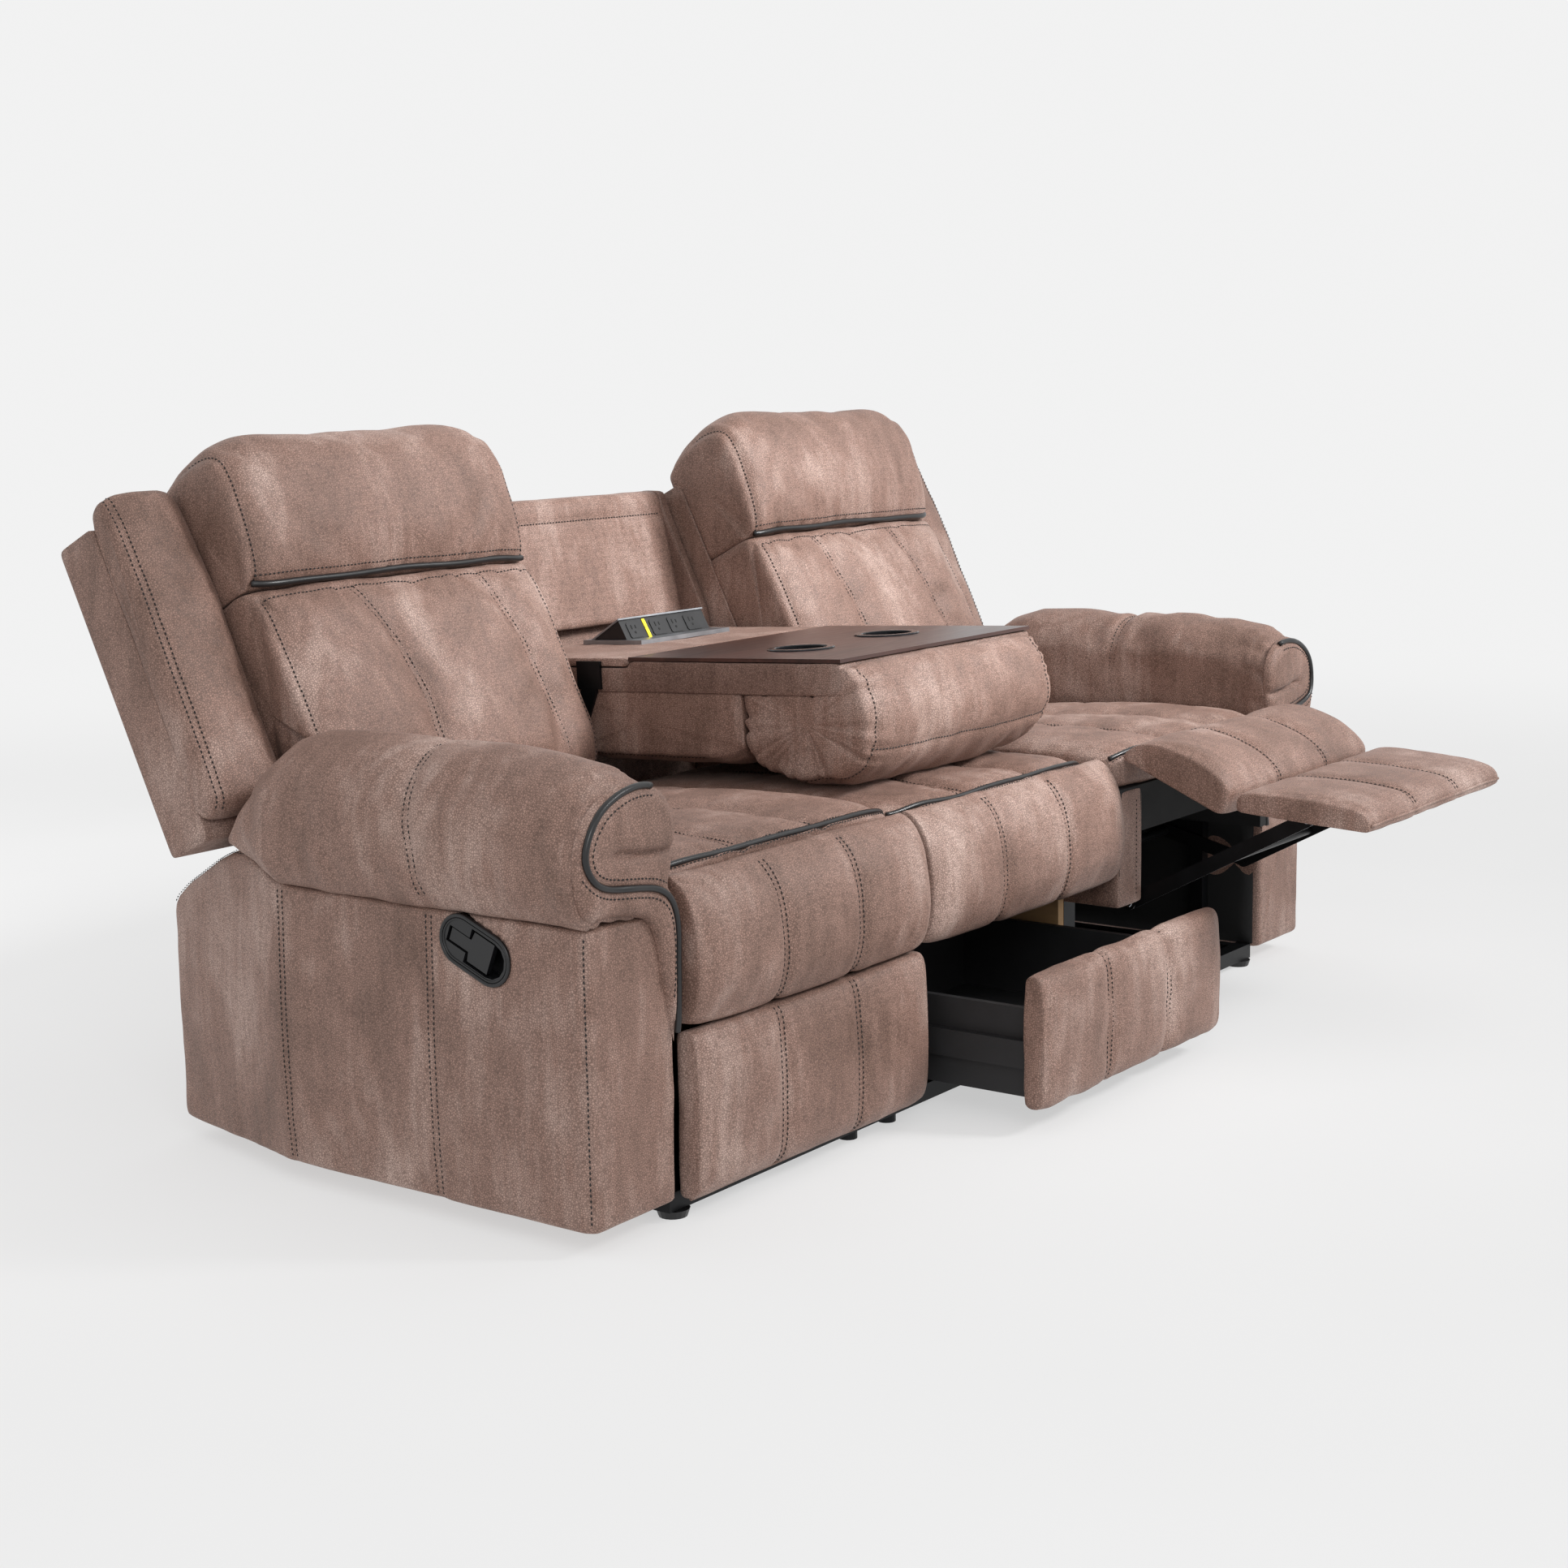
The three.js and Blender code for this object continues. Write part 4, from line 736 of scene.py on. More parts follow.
# Cushions of each side: their ends, and their side profiles with the boxes that these fill
RECLINER = (319.0, 917.0)
CENTRE = (-309.0, 309.0)
PADS = (320.0, 905.0)
BACKS = (322.0, 955.0)
WING = (955.3, 1105)
SEAMS = (0.335, 0.665)
DECK_TOP = 440.3
FACE = 88.3
PAD_REAR = 42.5
REST_REAR, REST_TOP, REST_FOOT = 23.7, 274.7, 28.7

SEAT_SIDE = [
    [0.01, 0], [1, 0], [1, 0.42], [0.98, 0.56, 0.85, 0.67], [0.65, 0.84, 0.45, 0.95],
    [0.2, 1.06, 0.03, 0.93], [0, 0.9, 0, 0.8], [0, 0.07],
]
LUMBAR_BOX = (FACE, 141, -55, 399)
LUMBAR_SIDE = [
    [0, 0.1], [0.1, 0, 0.45, 0], [0.95, 0.02, 1, 0.2], [1.03, 0.6, 0.98, 0.86], [0.95, 0.985, 0.82, 1], [0, 1],
]
WING_BOX = (FACE, 57, 18, 540)
WING_SIDE = [[0, 0.015], [0.5, 0, 0.9, 0.05], [1.02, 0.3, 1, 0.6], [1, 0.9, 0.7, 0.98], [0.4, 1, 0, 0.96]]
PILLOW_BOX = (FACE, 157, 344.3, 264.7)
PILLOW_SIDE = [
    [0, 0], [0.74, 0], [0.9, 0.02, 0.96, 0.2], [1.08, 0.6, 1, 0.84], [0.92, 1, 0.56, 1], [0.1, 0.99, -0.244, 0.8],
    [-0.28, 0.6234], [0, 0.6234],
]
CHAISE_BOX = (PAD_REAR, -72, 277, 220)
CHAISE_SIDE = [[0, 0], [0.5, 0], [0.93, 0, 1, 0.33], [1, 0.8, 0.46, 0.945], [0.25, 1, 0, 1]]
FOOTREST_BOX = (REST_REAR, -46, REST_FOOT, 246)
FOOTREST_SIDE = [[0, 0], [0.35, 0], [0.9, 0, 0.95, 0.2], [1.05, 0.5, 0.9, 0.85], [0.85, 1, 0.6, 1], [0, 1]]


def channel_seams(x0, x1, first, last):
    return [[(x0 + share * (x1 - x0), first), (x0 + share * (x1 - x0), last)] for share in SEAMS]


def back_side_seams(first, last):
    return [[(x, first), (x, last)] for x in (BACKS[1] - 15, BACKS[0] + 15)]


def seat_cushion(side, ends, height, name, node_name, body, cap=13.0):
    x0, x1 = ends
    width = x1 - x0
    box = (44, 656, DECK_TOP, height)
    place = side_place(side, plain, open_seat)
    skin = cushion(outline(SEAT_SIDE, box), (372, DECK_TOP), x0, x1, 22, place, SEAMS, 5.0)
    front = skin.share_of(*within(box, 0.02, 0.93))
    rear = -0.42 if skin.share_of(*within(box, 0.3, 1)) < front else 0.42
    paths = []
    for share, bend in zip(SEAMS, (0.04, -0.04)):
        line = ((share, 0), (share + bend, 0.5), (share + 0.6 * bend, 1))
        paths.append([(x0 + across * width, front + rear * back) for across, back in line])
    edge = [(x0 + 5, front), (x1 - 5, front)]
    along = (skin.lengths() - x0) / width
    off = (skin.arounds() - front + 0.5) % 1.0 - 0.5
    swell = (1 - (2 * along - 1) ** 2) * np.exp(-(off * skin.size / 60.0) ** 2)
    skin.p[..., 1] -= (20.0 if side == "centre" else 12.0) * swell
    skin.p[..., 2] += 3.0 * swell
    across = [(x0 + 8, front + rear * 0.62), (x1 - 8, front + rear * 0.6)]
    weight = held(skin, [*paths, edge], [(1, DECK_TOP, 1), (0, 640, -1)])
    yield skin, name, weight, 4.0, 0.035, cap
    seed = 1 if side == "left" else 2
    skin.push(lumps(skin, seed, 1.2, 2.0) + gathers(skin, front, 3, 4.5, 60, 38, -1 if rear < 0 else 1))
    grooves(skin, paths, 4.5, 8.0)
    skin.push(groove(skin, across, 3.5, 16.0) + groove(skin, edge, 3.0, 12.0))
    if side != "centre":
        front_limit = 43.8 - 2.5 * smooth(skin.p[..., 2], 499, 512) - slide_of(side)
        skin.p[..., 1] = np.maximum(skin.p[..., 1], front_limit)
    soft(skin, f"{name}_cover", body, node_name)
    sew(skin, f"{name}_stitches", body, paths)
    sew(skin, f"{name}_edge_stitches", body, [edge], rows=(-7.5, 7.5))
    pipe(skin, f"{name}_piping", body, edge, 4.6, 2.6)


BACK_SEAMS = {
    "left": (((475, 0.0), (440, 0.33), (422, 0.66), (420, 1.0)), ((765, 0.0), (722, 0.25), (700, 0.5), (704, 1.0))),
    "right": (((492, 0.0), (520, 0.33), (540, 0.66), (552, 1.0)), ((752, 0.0), (790, 0.33), (820, 0.66), (838, 1.0))),
}


def lumbar_cushion(side):
    body = f"{side}_back"
    section = outline(LUMBAR_SIDE, LUMBAR_BOX)
    skin = cushion(section, (FACE, 160.0), *BACKS, (30, 30, 20, 1), side_place(side, on_back))
    top, low, under = (skin.share_of(*spot) for spot in ((223.66, 330), (189.82, -52), (215.2, 0)))
    seams = [[(x, top + share * (low - top)) for x, share in path] for path in BACK_SEAMS[side]]
    sides = back_side_seams(top, low)
    across = [(BACKS[0] + 14, top), (BACKS[1] - 14, top)]
    weight = held(skin, [*seams, *sides, across], [(0, FACE, 1), (1, 344, -1)])
    yield skin, f"{side}_lumbar", weight, 4.0, 0.04, 16.0
    sign = 1 if low > top else -1
    folds = gathers(skin, top, 6, 9.0, 62, 34, sign)
    skin.push(lumps(skin, 5, 1.8, 3.0) + folds + gathers(skin, under, 4, 4.0, 60, 52, -sign))
    grooves(skin, seams, 5.0, 9.0)
    grooves(skin, sides, 3.0, 8.0)
    notch(skin)
    soft(skin, f"{side}_lumbar_cover", body, f"{side}_lumbar_cushion")
    sew(skin, f"{side}_lumbar_stitches", body, seams)
    sew(skin, f"{side}_lumbar_side_stitches", body, sides, ONE_ROW)
    sew(skin, f"{side}_lumbar_top_stitches", body, [across], ONE_ROW)


# The lumbar cushion is cut away beside the arm, low down on its outer side
def notch(skin):
    x = np.abs(skin.p[..., 0])
    limit = 919.0 + 36.0 * smooth(height_on_back(skin.p), 84, 100)
    skin.p[..., 0] = np.where(x > limit, np.sign(skin.p[..., 0]) * limit, skin.p[..., 0])


# The top corners of a head pillow come down in a broad round
def rounding(skin):
    along = (skin.lengths() - BACKS[0]) / (BACKS[1] - BACKS[0])
    edge = np.clip(1 - np.minimum(along, 1 - along) / 0.2, 0, 1) ** 2.2
    drop = 30.0 * edge * np.clip((height_on_back(skin.p) - 500.0) / 100.0, 0, 1)
    skin.p[..., 1] -= drop * math.sin(LEAN)
    skin.p[..., 2] -= drop * math.cos(LEAN)


def head_pillow(side):
    body = f"{side}_back"
    section = outline(PILLOW_SIDE, PILLOW_BOX)
    skin = cushion(section, (FACE, 500.0), *BACKS, (30, 34, 1, 34), side_place(side, on_back))
    rounding(skin)
    low, high = skin.share_of(217.04, 347), skin.share_of(151.1, 609)
    upward = 1 if high > low else -1
    sides = back_side_seams(low, high)
    above = low + upward * 16.0 / skin.size
    edge, seam = ([(BACKS[0] + 12, share), (BACKS[1] - 12, share)] for share in (low, above))
    weight = held(skin, [*sides, edge], [(0, FACE, 1), (1, PILLOW_BOX[2], 1)])
    yield skin, f"{side}_pillow", weight, 3.0, 0.02, 10.0
    skin.push(lumps(skin, 7, 1.2, 3.0) + gathers(skin, low, 8, 7.0, 60, 38, upward))
    grooves(skin, sides, 3.5, 8.0)
    soft(skin, f"{side}_pillow_cover", body, f"{side}_head_pillow")
    pipe(skin, f"{side}_pillow_piping", body, edge, 5.2, 3.0)
    sew(skin, f"{side}_pillow_stitches", body, [seam], ONE_ROW)
    sew(skin, f"{side}_pillow_side_stitches", body, sides, ONE_ROW)


def back_wing(side):
    body = f"{side}_back"
    section = outline(WING_SIDE, WING_BOX)
    skin = cushion(section, (FACE, 288.0), *WING, (20, 20, 14, 34), side_place(side, on_back))
    foot, tip = skin.share_of(122.5, 22), skin.share_of(116.8, 552)
    seam = [(1092, foot), (1094, (foot + tip) / 2), (1090, tip)]
    yield skin, f"{side}_wing", held(skin, [seam], [(0, FACE, 1)]), 4.0, 0.04, 12.0
    skin.push(lumps(skin, 9, 1.6, 3.0) + groove(skin, seam, 3.5, 9.0))
    soft(skin, f"{side}_wing_cover", body, f"{side}_back_wing")
    sew(skin, f"{side}_wing_stitches", body, [seam])


def chaise_pad(side, ends, name, node_name, body):
    section = outline(CHAISE_SIDE, CHAISE_BOX)
    place = side_place(side, plain, open_chaise)
    skin = cushion(section, (PAD_REAR, 497.0), *ends, (10, 2, 12, 4), place, SEAMS, 5.0)
    top, low = skin.share_of(21.8, 490.4), skin.share_of(7.2, 277)
    seams = channel_seams(*ends, top, low)
    weight = held(skin, seams, [(0, PAD_REAR, -1), (1, 277, 1)])
    yield skin, name, weight, 3.0, 0.025, 8.0
    sign = 1 if low > top else -1
    free = np.clip((PAD_REAR - skin.section[:, 0]) / 8.0, 0, 1)[None]
    skin.push(lumps(skin, 11, 0.8, 1.6) * free + gathers(skin, top, 12, 4.0, 70, 34, sign) * free)
    grooves(skin, seams, 4.0, 8.0)
    soft(skin, f"{name}_cover", body, node_name)
    sew(skin, f"{name}_stitches", body, seams)


def footrest_pad(side):
    body = f"{side}_footrest"
    section = outline(FOOTREST_SIDE, FOOTREST_BOX)
    place = side_place(side, plain, open_footrest)
    skin = cushion(section, (REST_REAR, REST_TOP), *PADS, (7, 1, 3, 3), place, SEAMS, 3.5)
    low, top, rim = (skin.share_of(*spot) for spot in ((0.7, REST_FOOT), (-3.9, REST_TOP), (10.82, REST_FOOT)))
    seams = channel_seams(*PADS, top, low)
    weight = held(skin, seams, [(0, REST_REAR, -1), (1, REST_TOP, -1)])
    yield skin, f"{side}_footrest", weight, 3.0, 0.015, 5.0
    skin.push(lumps(skin, 13, 0.8, 1.4))
    grooves(skin, seams, 3.5, 8.0)
    soft(skin, f"{side}_footrest_cover", body, f"{side}_footrest_pad")
    sew(skin, f"{side}_footrest_stitches", body, seams)
    pipe(skin, f"{side}_footrest_welt", body, [(PADS[0] + 6, rim), (PADS[1] - 6, rim)], 2.6, 0.6, LEATHER)


# Arms: from their start behind the scroll panel to the rear, with a roll on a box
ARM_INNER, ARM_OUTER, ROLL_INNER, ROLL_OUTER = 923.0, 1105.0, 928.0, 1130
ARM_START, ARM_REAR, ARM_FOOT, ARM_TOP = 12.3, 935, 33, 457
ROLL_LONG, ROLL_TALL, ROLL_AROUND, BOX_AROUND = 693, 224, 680.0, 1210.0
ROLL_SIDE = [
    [0.09, 0], [0.87, 0], [1.03, 0.1, 1, 0.45], [0.98, 0.86, 0.5, 1], [0.03, 0.97, 0, 0.6], [-0.01, 0.3, 0.05, 0.14],
]
ROLL_STATIONS = np.array([
    [0, 0.83], [0.06, 0.92], [0.16, 0.965], [0.34, 1], [0.45, 0.99], [0.48, 0.965], [0.51, 0.99], [0.64, 1],
    [0.79, 0.975], [0.87, 0.9], [0.93, 0.76], [0.97, 0.58], [1, 0.36],
])
BOX_TOP = [[0, 600, 720, ARM_REAR], [ARM_TOP, ARM_TOP, 505, 393]]
BOX_CREST = [[0, 580, 625, 660, 700, 735, 780, 880, 915, ARM_REAR],
             [ARM_TOP, ARM_TOP, 463, 478, 490, 488, 470, 416, 394, 372]]


def taper_at(y):
    return np.interp(y, [0, 602, ARM_REAR], [0, 0, 79])


def arm_skin(side, ys, rings, size, shown):
    rings = np.array(rings)
    y = np.broadcast_to(ys[:, None], rings.shape[:2])
    return Skin(side_place(side, plain)(rings[..., 0], y, rings[..., 1]), ys, size, rings[shown])


def arm_roll(side):
    along = stations(int(ROLL_LONG / GRAIN))
    ys = ARM_START + along * ROLL_LONG
    rings = []
    for y, height in zip(ys, np.interp(along, ROLL_STATIONS[:, 0], ROLL_STATIONS[:, 1])):
        bottom = np.interp(y, *BOX_TOP) + 0.3
        wide = ROLL_OUTER - taper_at(y) - ROLL_INNER
        points = outline(ROLL_SIDE, (ROLL_INNER, wide, bottom, ARM_TOP + ROLL_TALL * height - bottom))
        rings.append(softened(resample(points, int(ROLL_AROUND / GRAIN)), 1))
    skin = arm_skin(side, ys, rings, ROLL_AROUND, 0)
    high, mid, low, inner = (skin.share_of(*spot) for spot in ((1020, 650), (1130, 560), (1110, 460), (930, 560)))
    seam = [(350, inner), (345, high), (332, (high + mid) / 2), (322, mid), (296, low)]
    yield skin, f"{side}_arm_roll", held(skin, [seam], [(1, 457.3, 1)]), 4.0, 0.03, 9.0
    x, around = skin.lengths(), skin.arounds()
    shares = around * 34 + noise2(x / 90, around * 12, 9) * 0.9
    reach = 30 + 34 * np.abs(noise2(around * 17, 0 * x, 2))
    pleats = -7.5 * ridges(shares, x / 240, 10) * np.exp(-(x - ARM_START) / reach)
    skin.push(lumps(skin, 14, 1.4, 2.6) + pleats + groove(skin, seam, 5.0, 10.0))
    soft(skin, f"{side}_arm_roll_cover", "base", f"{side}_arm_pad")
    sew(skin, f"{side}_arm_roll_stitches", "base", [seam])


# A mesh less the cutters, each given as points and faces
def carved(mesh, cutters):
    whole = linked("whole", mesh)
    tools = []
    for cutter in cutters:
        tools.append(linked("tool", mesh_of("tool", [cutter])))
        cut = whole.modifiers.new("cut", "BOOLEAN")
        cut.operation, cut.object, cut.solver = "DIFFERENCE", tools[-1], "EXACT"
    graph = bpy.context.evaluated_depsgraph_get()
    result = bpy.data.meshes.new_from_object(whole.evaluated_get(graph))
    result.name = mesh.name
    removed([whole, *tools])
    return result


def prism(edge, low, high, place):
    count = len(edge)
    edge = np.array(edge, float)
    points = np.concatenate([place(edge[:, 0], edge[:, 1], np.full(count, level)) for level in (low, high)])
    foot, head = range(count), range(count, 2 * count)
    return points, band(foot, head) + [list(foot)[::-1], list(head)]


def stadium(half, radius):
    turn = np.linspace(-np.pi / 2, np.pi / 2, 14)
    right = np.stack([half + radius * np.cos(turn), radius * np.sin(turn)], -1)
    return np.concatenate([right, right * [-1, -1]])


# The lever's own plane: along it, across it and out of the arm
LEVER_MIDDLE = (ARM_OUTER, 211.0, 408.0)
LEVER_TILT = math.radians(22)
LEVER_HALF = 30


def lever_place(side):
    along = np.array([0.0, -math.cos(LEVER_TILT), -math.sin(LEVER_TILT)])
    across = np.array([0.0, math.sin(LEVER_TILT), -math.cos(LEVER_TILT)])

    def made(u, v, w):
        u, v, w = (np.asarray(k, float)[..., None] for k in (u, v, w))
        points = np.array(LEVER_MIDDLE) + u * along + v * across + w * np.array([1.0, 0, 0])
        return flipped(points) if side == "left" else points
    return made


# A raised ring on the bezel and a finer one on the lever's paddle
def lever_trim(side):
    place = lever_place(side)
    parts = []
    for radius, thick, level in ((34.6, 3.0, 3.6), (29.8, 1.6, 4.0)):
        edge = resample(stadium(LEVER_HALF, radius), 120)
        parts.append(tube(place(edge[:, 0], edge[:, 1], np.full(120, level)), thick, closed=True))
    build(f"{side}_lever_rim", parts, "base", PLASTIC, "black_plastic")


def arm_box(side):
    ys = ARM_START + np.r_[0, 1.5, 4, 8, 14, np.linspace(22, 900.7, int(880 / (GRAIN * 1.2))), 912, 918.7, 922.7]
    rings = []
    for y in ys:
        inset = 8.0 * math.exp(-(y - ARM_START) / 5.0) + 8.0 * math.exp(-(ARM_REAR - y) / 5.0)
        inner, outer = ARM_INNER + inset, ARM_OUTER - taper_at(y) - inset
        foot, top = ARM_FOOT + inset, np.interp(y, *BOX_CREST) - inset
        corners = [(inner, foot), (outer, foot), (outer, top), (inner, top)]
        rings.append(softened(resample(corners, int(BOX_AROUND / GRAIN)), 3))
    skin = arm_skin(side, ys, rings, BOX_AROUND, 6)
    low, high, crest = (skin.share_of(*spot) for spot in ((ARM_OUTER, 38), (ARM_OUTER, 448), (1096, ARM_TOP)))
    seams = [[(602, high), (598, low)], [(302, high), (300, low)]]
    corner = [(20, high), (20, low)]
    share = np.clip((skin.section[:, 1] - ARM_FOOT) / (ARM_TOP - ARM_FOOT), 0, 1)
    swell = 5.0 * np.sin(np.pi * share)[None] * (np.abs(skin.p[..., 0]) > 1010)
    fade = smooth(skin.lengths(), 12, 120) * smooth(-skin.lengths(), -930, -840)
    skin.push(swell * fade + lumps(skin, 17, 0.9, 1.6))
    grooves(skin, [*seams, corner], 3.5, 8.0)
    name = f"{side}_arm_box_cover"
    pocket = prism(stadium(LEVER_HALF, 36.8), -32, 30, lever_place(side))
    add(carved(skin.mesh(name), [pocket]), name, "base", LEATHER, "leather", f"{side}_arm_frame", fill=0.85)
    sew(skin, f"{side}_arm_box_stitches", "base", seams)
    sew(skin, f"{side}_arm_corner_stitches", "base", [corner], ONE_ROW)
    sew(skin, f"{side}_arm_top_stitches", "base", [[(700, crest), (925, crest)]])


# A padded plate: an outline with a crowned face, the height growing away from its edge
def gap_to(points, edge):
    return np.linalg.norm(points[:, None] - edge[None], axis=-1).min(1)


def inside(points, edge):
    a, b = edge, np.roll(edge, -1, 0)
    x, z = points[:, :1], points[:, 1:]
    crossing = (a[None, :, 1] > z) != (b[None, :, 1] > z)
    rise = np.where(b[:, 1] == a[:, 1], 1.0, b[:, 1] - a[:, 1])
    at = a[:, 0] + (z - a[:, 1]) * (b[:, 0] - a[:, 0]) / rise
    return (crossing & (x < at)).sum(1) % 2 == 1


def rise_over(points, edge, height, reach, field):
    away = gap_to(points, edge)
    rounded = height * np.sqrt(1 - (1 - np.clip(away / reach, 0, 1)) ** 2)
    return 1.5 + rounded + field(points[:, 0], points[:, 1]) * (1 - np.exp(-away / 9.0))


def plate(edge, height, place, spacing, reach, field):
    low, high = edge.min(0), edge.max(0)
    grid = np.meshgrid(np.arange(low[0], high[0], spacing), np.arange(low[1], high[1], spacing))
    grid = np.stack(grid, -1).reshape(-1, 2)
    grid = grid + np.random.default_rng(3).uniform(-0.15, 0.15, grid.shape) * spacing
    grid = grid[inside(grid, edge) & (gap_to(grid, edge) > spacing * 0.6)]
    flat = np.concatenate([edge, grid])
    count = len(edge)
    loop = [(k, (k + 1) % count) for k in range(count)]
    made, _, faces, *_ = geometry.delaunay_2d_cdt([Vector(q) for q in flat], loop, [], 1, 1e-6)
    made = np.array([tuple(q) for q in made])
    rise = rise_over(made, edge, height, reach, field)
    points = np.concatenate([place(*made.T, rise), place(*edge.T, np.zeros(count))])
    near = [int(np.argmin(np.linalg.norm(made - q, axis=1))) for q in edge]
    rear = range(len(made), len(made) + count)
    return points, [list(face) for face in faces] + band(near, rear) + [list(rear)]


def stroke(path, step=4.0):
    p = np.array(path, float)
    for _ in range(3):
        q = np.empty((2 * len(p) - 2, 2))
        q[0::2], q[1::2] = p[:-1] * 0.75 + p[1:] * 0.25, p[:-1] * 0.25 + p[1:] * 0.75
        p = np.vstack([p[:1], q, p[-1:]])
    return resample(p, int(steps_along(p)[-1] / step), closed=False)


def beside(path, away):
    t = unit(np.gradient(path, axis=0))
    return path + np.stack([-t[:, 1], t[:, 0]], -1) * away


# The scroll panel: its outline, its piping, and the curl that ends in a sharp fold
SCROLL_INNER, SCROLL_FOOT = 921.5, 268
SCROLL_BOX = (SCROLL_INNER, ROLL_OUTER - SCROLL_INNER, SCROLL_FOOT, ARM_TOP + ROLL_TALL * 0.84 - SCROLL_FOOT)
SCROLL_AROUND, SCROLL_HEIGHT, SCROLL_REACH = 1180, 16.0, 24.0
SCROLL = [
    [0.03, 0], [0.16, 0.27], [0.18, 0.44, 0.32, 0.49], [0.6, 0.54, 0.86, 0.53], [1.01, 0.57, 1, 0.75],
    [0.97, 0.95, 0.5, 1], [0.06, 0.99, 0.02, 0.82], [0.04, 0.66, 0.1, 0.6], [0, 0.52, 0, 0.4],
]
SCROLL_PIPING = [
    (934, 622), (985, 640), (1040, 638), (1095, 612), (1121, 566), (1112, 528), (1078, 509), (1020, 503), (960, 492),
    (928, 455), (925, 400), (925, 345), (927, 300), (933, 274),
]


def scroll_panel(side):
    edge = resample(outline(SCROLL, SCROLL_BOX), int(SCROLL_AROUND / GRAIN))

    def place(x, z, forward):
        return plain(sign_of(side) * x, ARM_START - forward, z)

    def clear_of_edge(points, gap):
        return inside(points, edge) & (gap_to(points, edge) > gap)

    line = stroke(SCROLL_PIPING)
    line = line[clear_of_edge(line, 2.0)]

    def relief(x, z):
        d = gap_to(np.stack([x, z], -1), line)
        fold = z - 548 - 0.1 * (x - 995)
        crease = np.hypot(np.clip(x - 1046, 0, None) * 0.6, fold)
        curl = 11.0 * smooth(fold, -1.0, 5.0) * np.exp(-((x - 985) / 72) ** 2 - np.clip(fold, 0, None) / 46)
        puckers = 2.6 * ridges(np.arctan2(z - 552, x - 1048) * 3.4, x * 0 + 0.5, 4)
        puckers = puckers * np.exp(-np.hypot(x - 1048, z - 552) / 46)
        folded = -4.0 * np.exp(-(d / 7) ** 2) - 13.0 * np.exp(-(crease / 7) ** 1.3) + curl - puckers
        return folded + 2.0 * noise2(x / 40, z / 40, 21)

    def face(path):
        return softened_line(rise_over(path, edge, SCROLL_HEIGHT, SCROLL_REACH, relief), 6)

    part = plate(edge, SCROLL_HEIGHT, place, GRAIN * 0.6, SCROLL_REACH, relief)
    build(f"{side}_scroll_cover", [part], "base", LEATHER, "leather", f"{side}_arm_front_panel", fill=0.8)
    build(f"{side}_scroll_piping", [tube(place(*line.T, face(line) + 2.6), 5.0)], "base", PIPING, "leather")
    parts = []
    for away in (-13.0, 13.0):
        q = beside(line, away)
        q = q[(q[:, 0] > SCROLL_INNER + 4) & clear_of_edge(q, 4.0)]
        if len(q) > 4:
            stitches = stitch_parts(place(*q.T, face(q) + 0.9), np.tile([0.0, -1.0, 0.0], (len(q), 1)))
            parts += [part for part in stitches if np.ptp(part[0], 0).max() < 9]
    build(f"{side}_scroll_stitches", parts, "base", THREAD, "leather", smooth=False)


def back_shell(side):
    around = 1194.0
    ring = softened(resample([(0, 0), (88, 0), (88, 509), (0, 509)], int(around / GRAIN)), 2)
    xs = BACKS[0] + stations(int(783 / (GRAIN * 1.4))) * 783
    grid = np.broadcast_arrays(xs[:, None], ring[None, :, 0], ring[None, :, 1])
    skin = Skin(side_place(side, on_back)(*grid), xs, around, ring)
    soft(skin, f"{side}_back_shell", f"{side}_back", f"{side}_back_frame")


# Drawer front, pulled out with its drawer
DRAWER = (-299, 299)
DRAWER_BOX = (24, -38, 37, 222)
DRAWER_SIDE = [[0, 0.01], [0.55, 0], [0.96, 0.01, 1, 0.14], [1.06, 0.5, 1, 0.86], [0.94, 1, 0.55, 1], [0, 0.99]]


def drawer_cover():
    skin = cushion(outline(DRAWER_SIDE, DRAWER_BOX), (24.0, 148.0), *DRAWER, (5, 0, 3, 3), plain, SEAMS, 4.0)
    skin.p = shifted(skin.p, -DRAWER_PULL)
    top, low = skin.share_of(5, 259), skin.share_of(5, 37)
    seams = []
    for share in SEAMS:
        line = ((share, top), (share + 0.012, (top + low) / 2), (share, low))
        seams.append([(DRAWER[0] + across * 598, around) for across, around in line])
    yield skin, "drawer", held(skin, seams, [(0, 24, -1)]), 3.0, 0.03, 6.0
    sign = 1 if low > top else -1
    skin.push(lumps(skin, 18, 1.4, 2.4) + gathers(skin, top, 19, 6.0, 46, 60, sign))
    grooves(skin, seams, 4.0, 8.0)
    soft(skin, "drawer_front_cover", "drawer", "drawer_front")
    sew(skin, "drawer_stitches", "drawer", seams)


# Console, measured from its pivot along and across its board
CONSOLE = (-292.0, 292.0)
CUPS = ((-130, -357), (130, -357))
CUP_ROOM, CUP_FLOOR, WELL_RADIUS = 54, 43.0, 45.5
UNDER_BOX = (-349.7, 427, -66, 122.7)
UNDER_SIDE = [[0, 0.16], [0, 1], [1, 1], [1, 0.08], [0.98, 0, 0.9, 0], [0.3, -0.02, 0.16, -0.02], [0.03, 0.0, 0, 0.16]]
END_BOX = (-350, -257, -99, 203)
END_SIDE = [
    [0, 0.5], [0, 0.3, 0.04, 0.16], [0.16, -0.02, 0.45, -0.01], [0.72, -0.01, 0.86, 0.1], [1.01, 0.24, 1.01, 0.5],
    [1.01, 0.88, 0.83, 1],
]
BAND_SECTION = [(-552.8, 52.0), (67, 52.0), (67, 93.4), (-111.8, 93.4), (-111.8, 105.4), (-552.8, 105.4)]
LEDGE_SECTION = [(-111.8, 94.2), (207.2, 94.2), (207.2, 111.8), (-111.8, 111.8)]
OUTLET_ROOM = [(-77, 64), (167, 64), (167, 158), (-77, 158)]


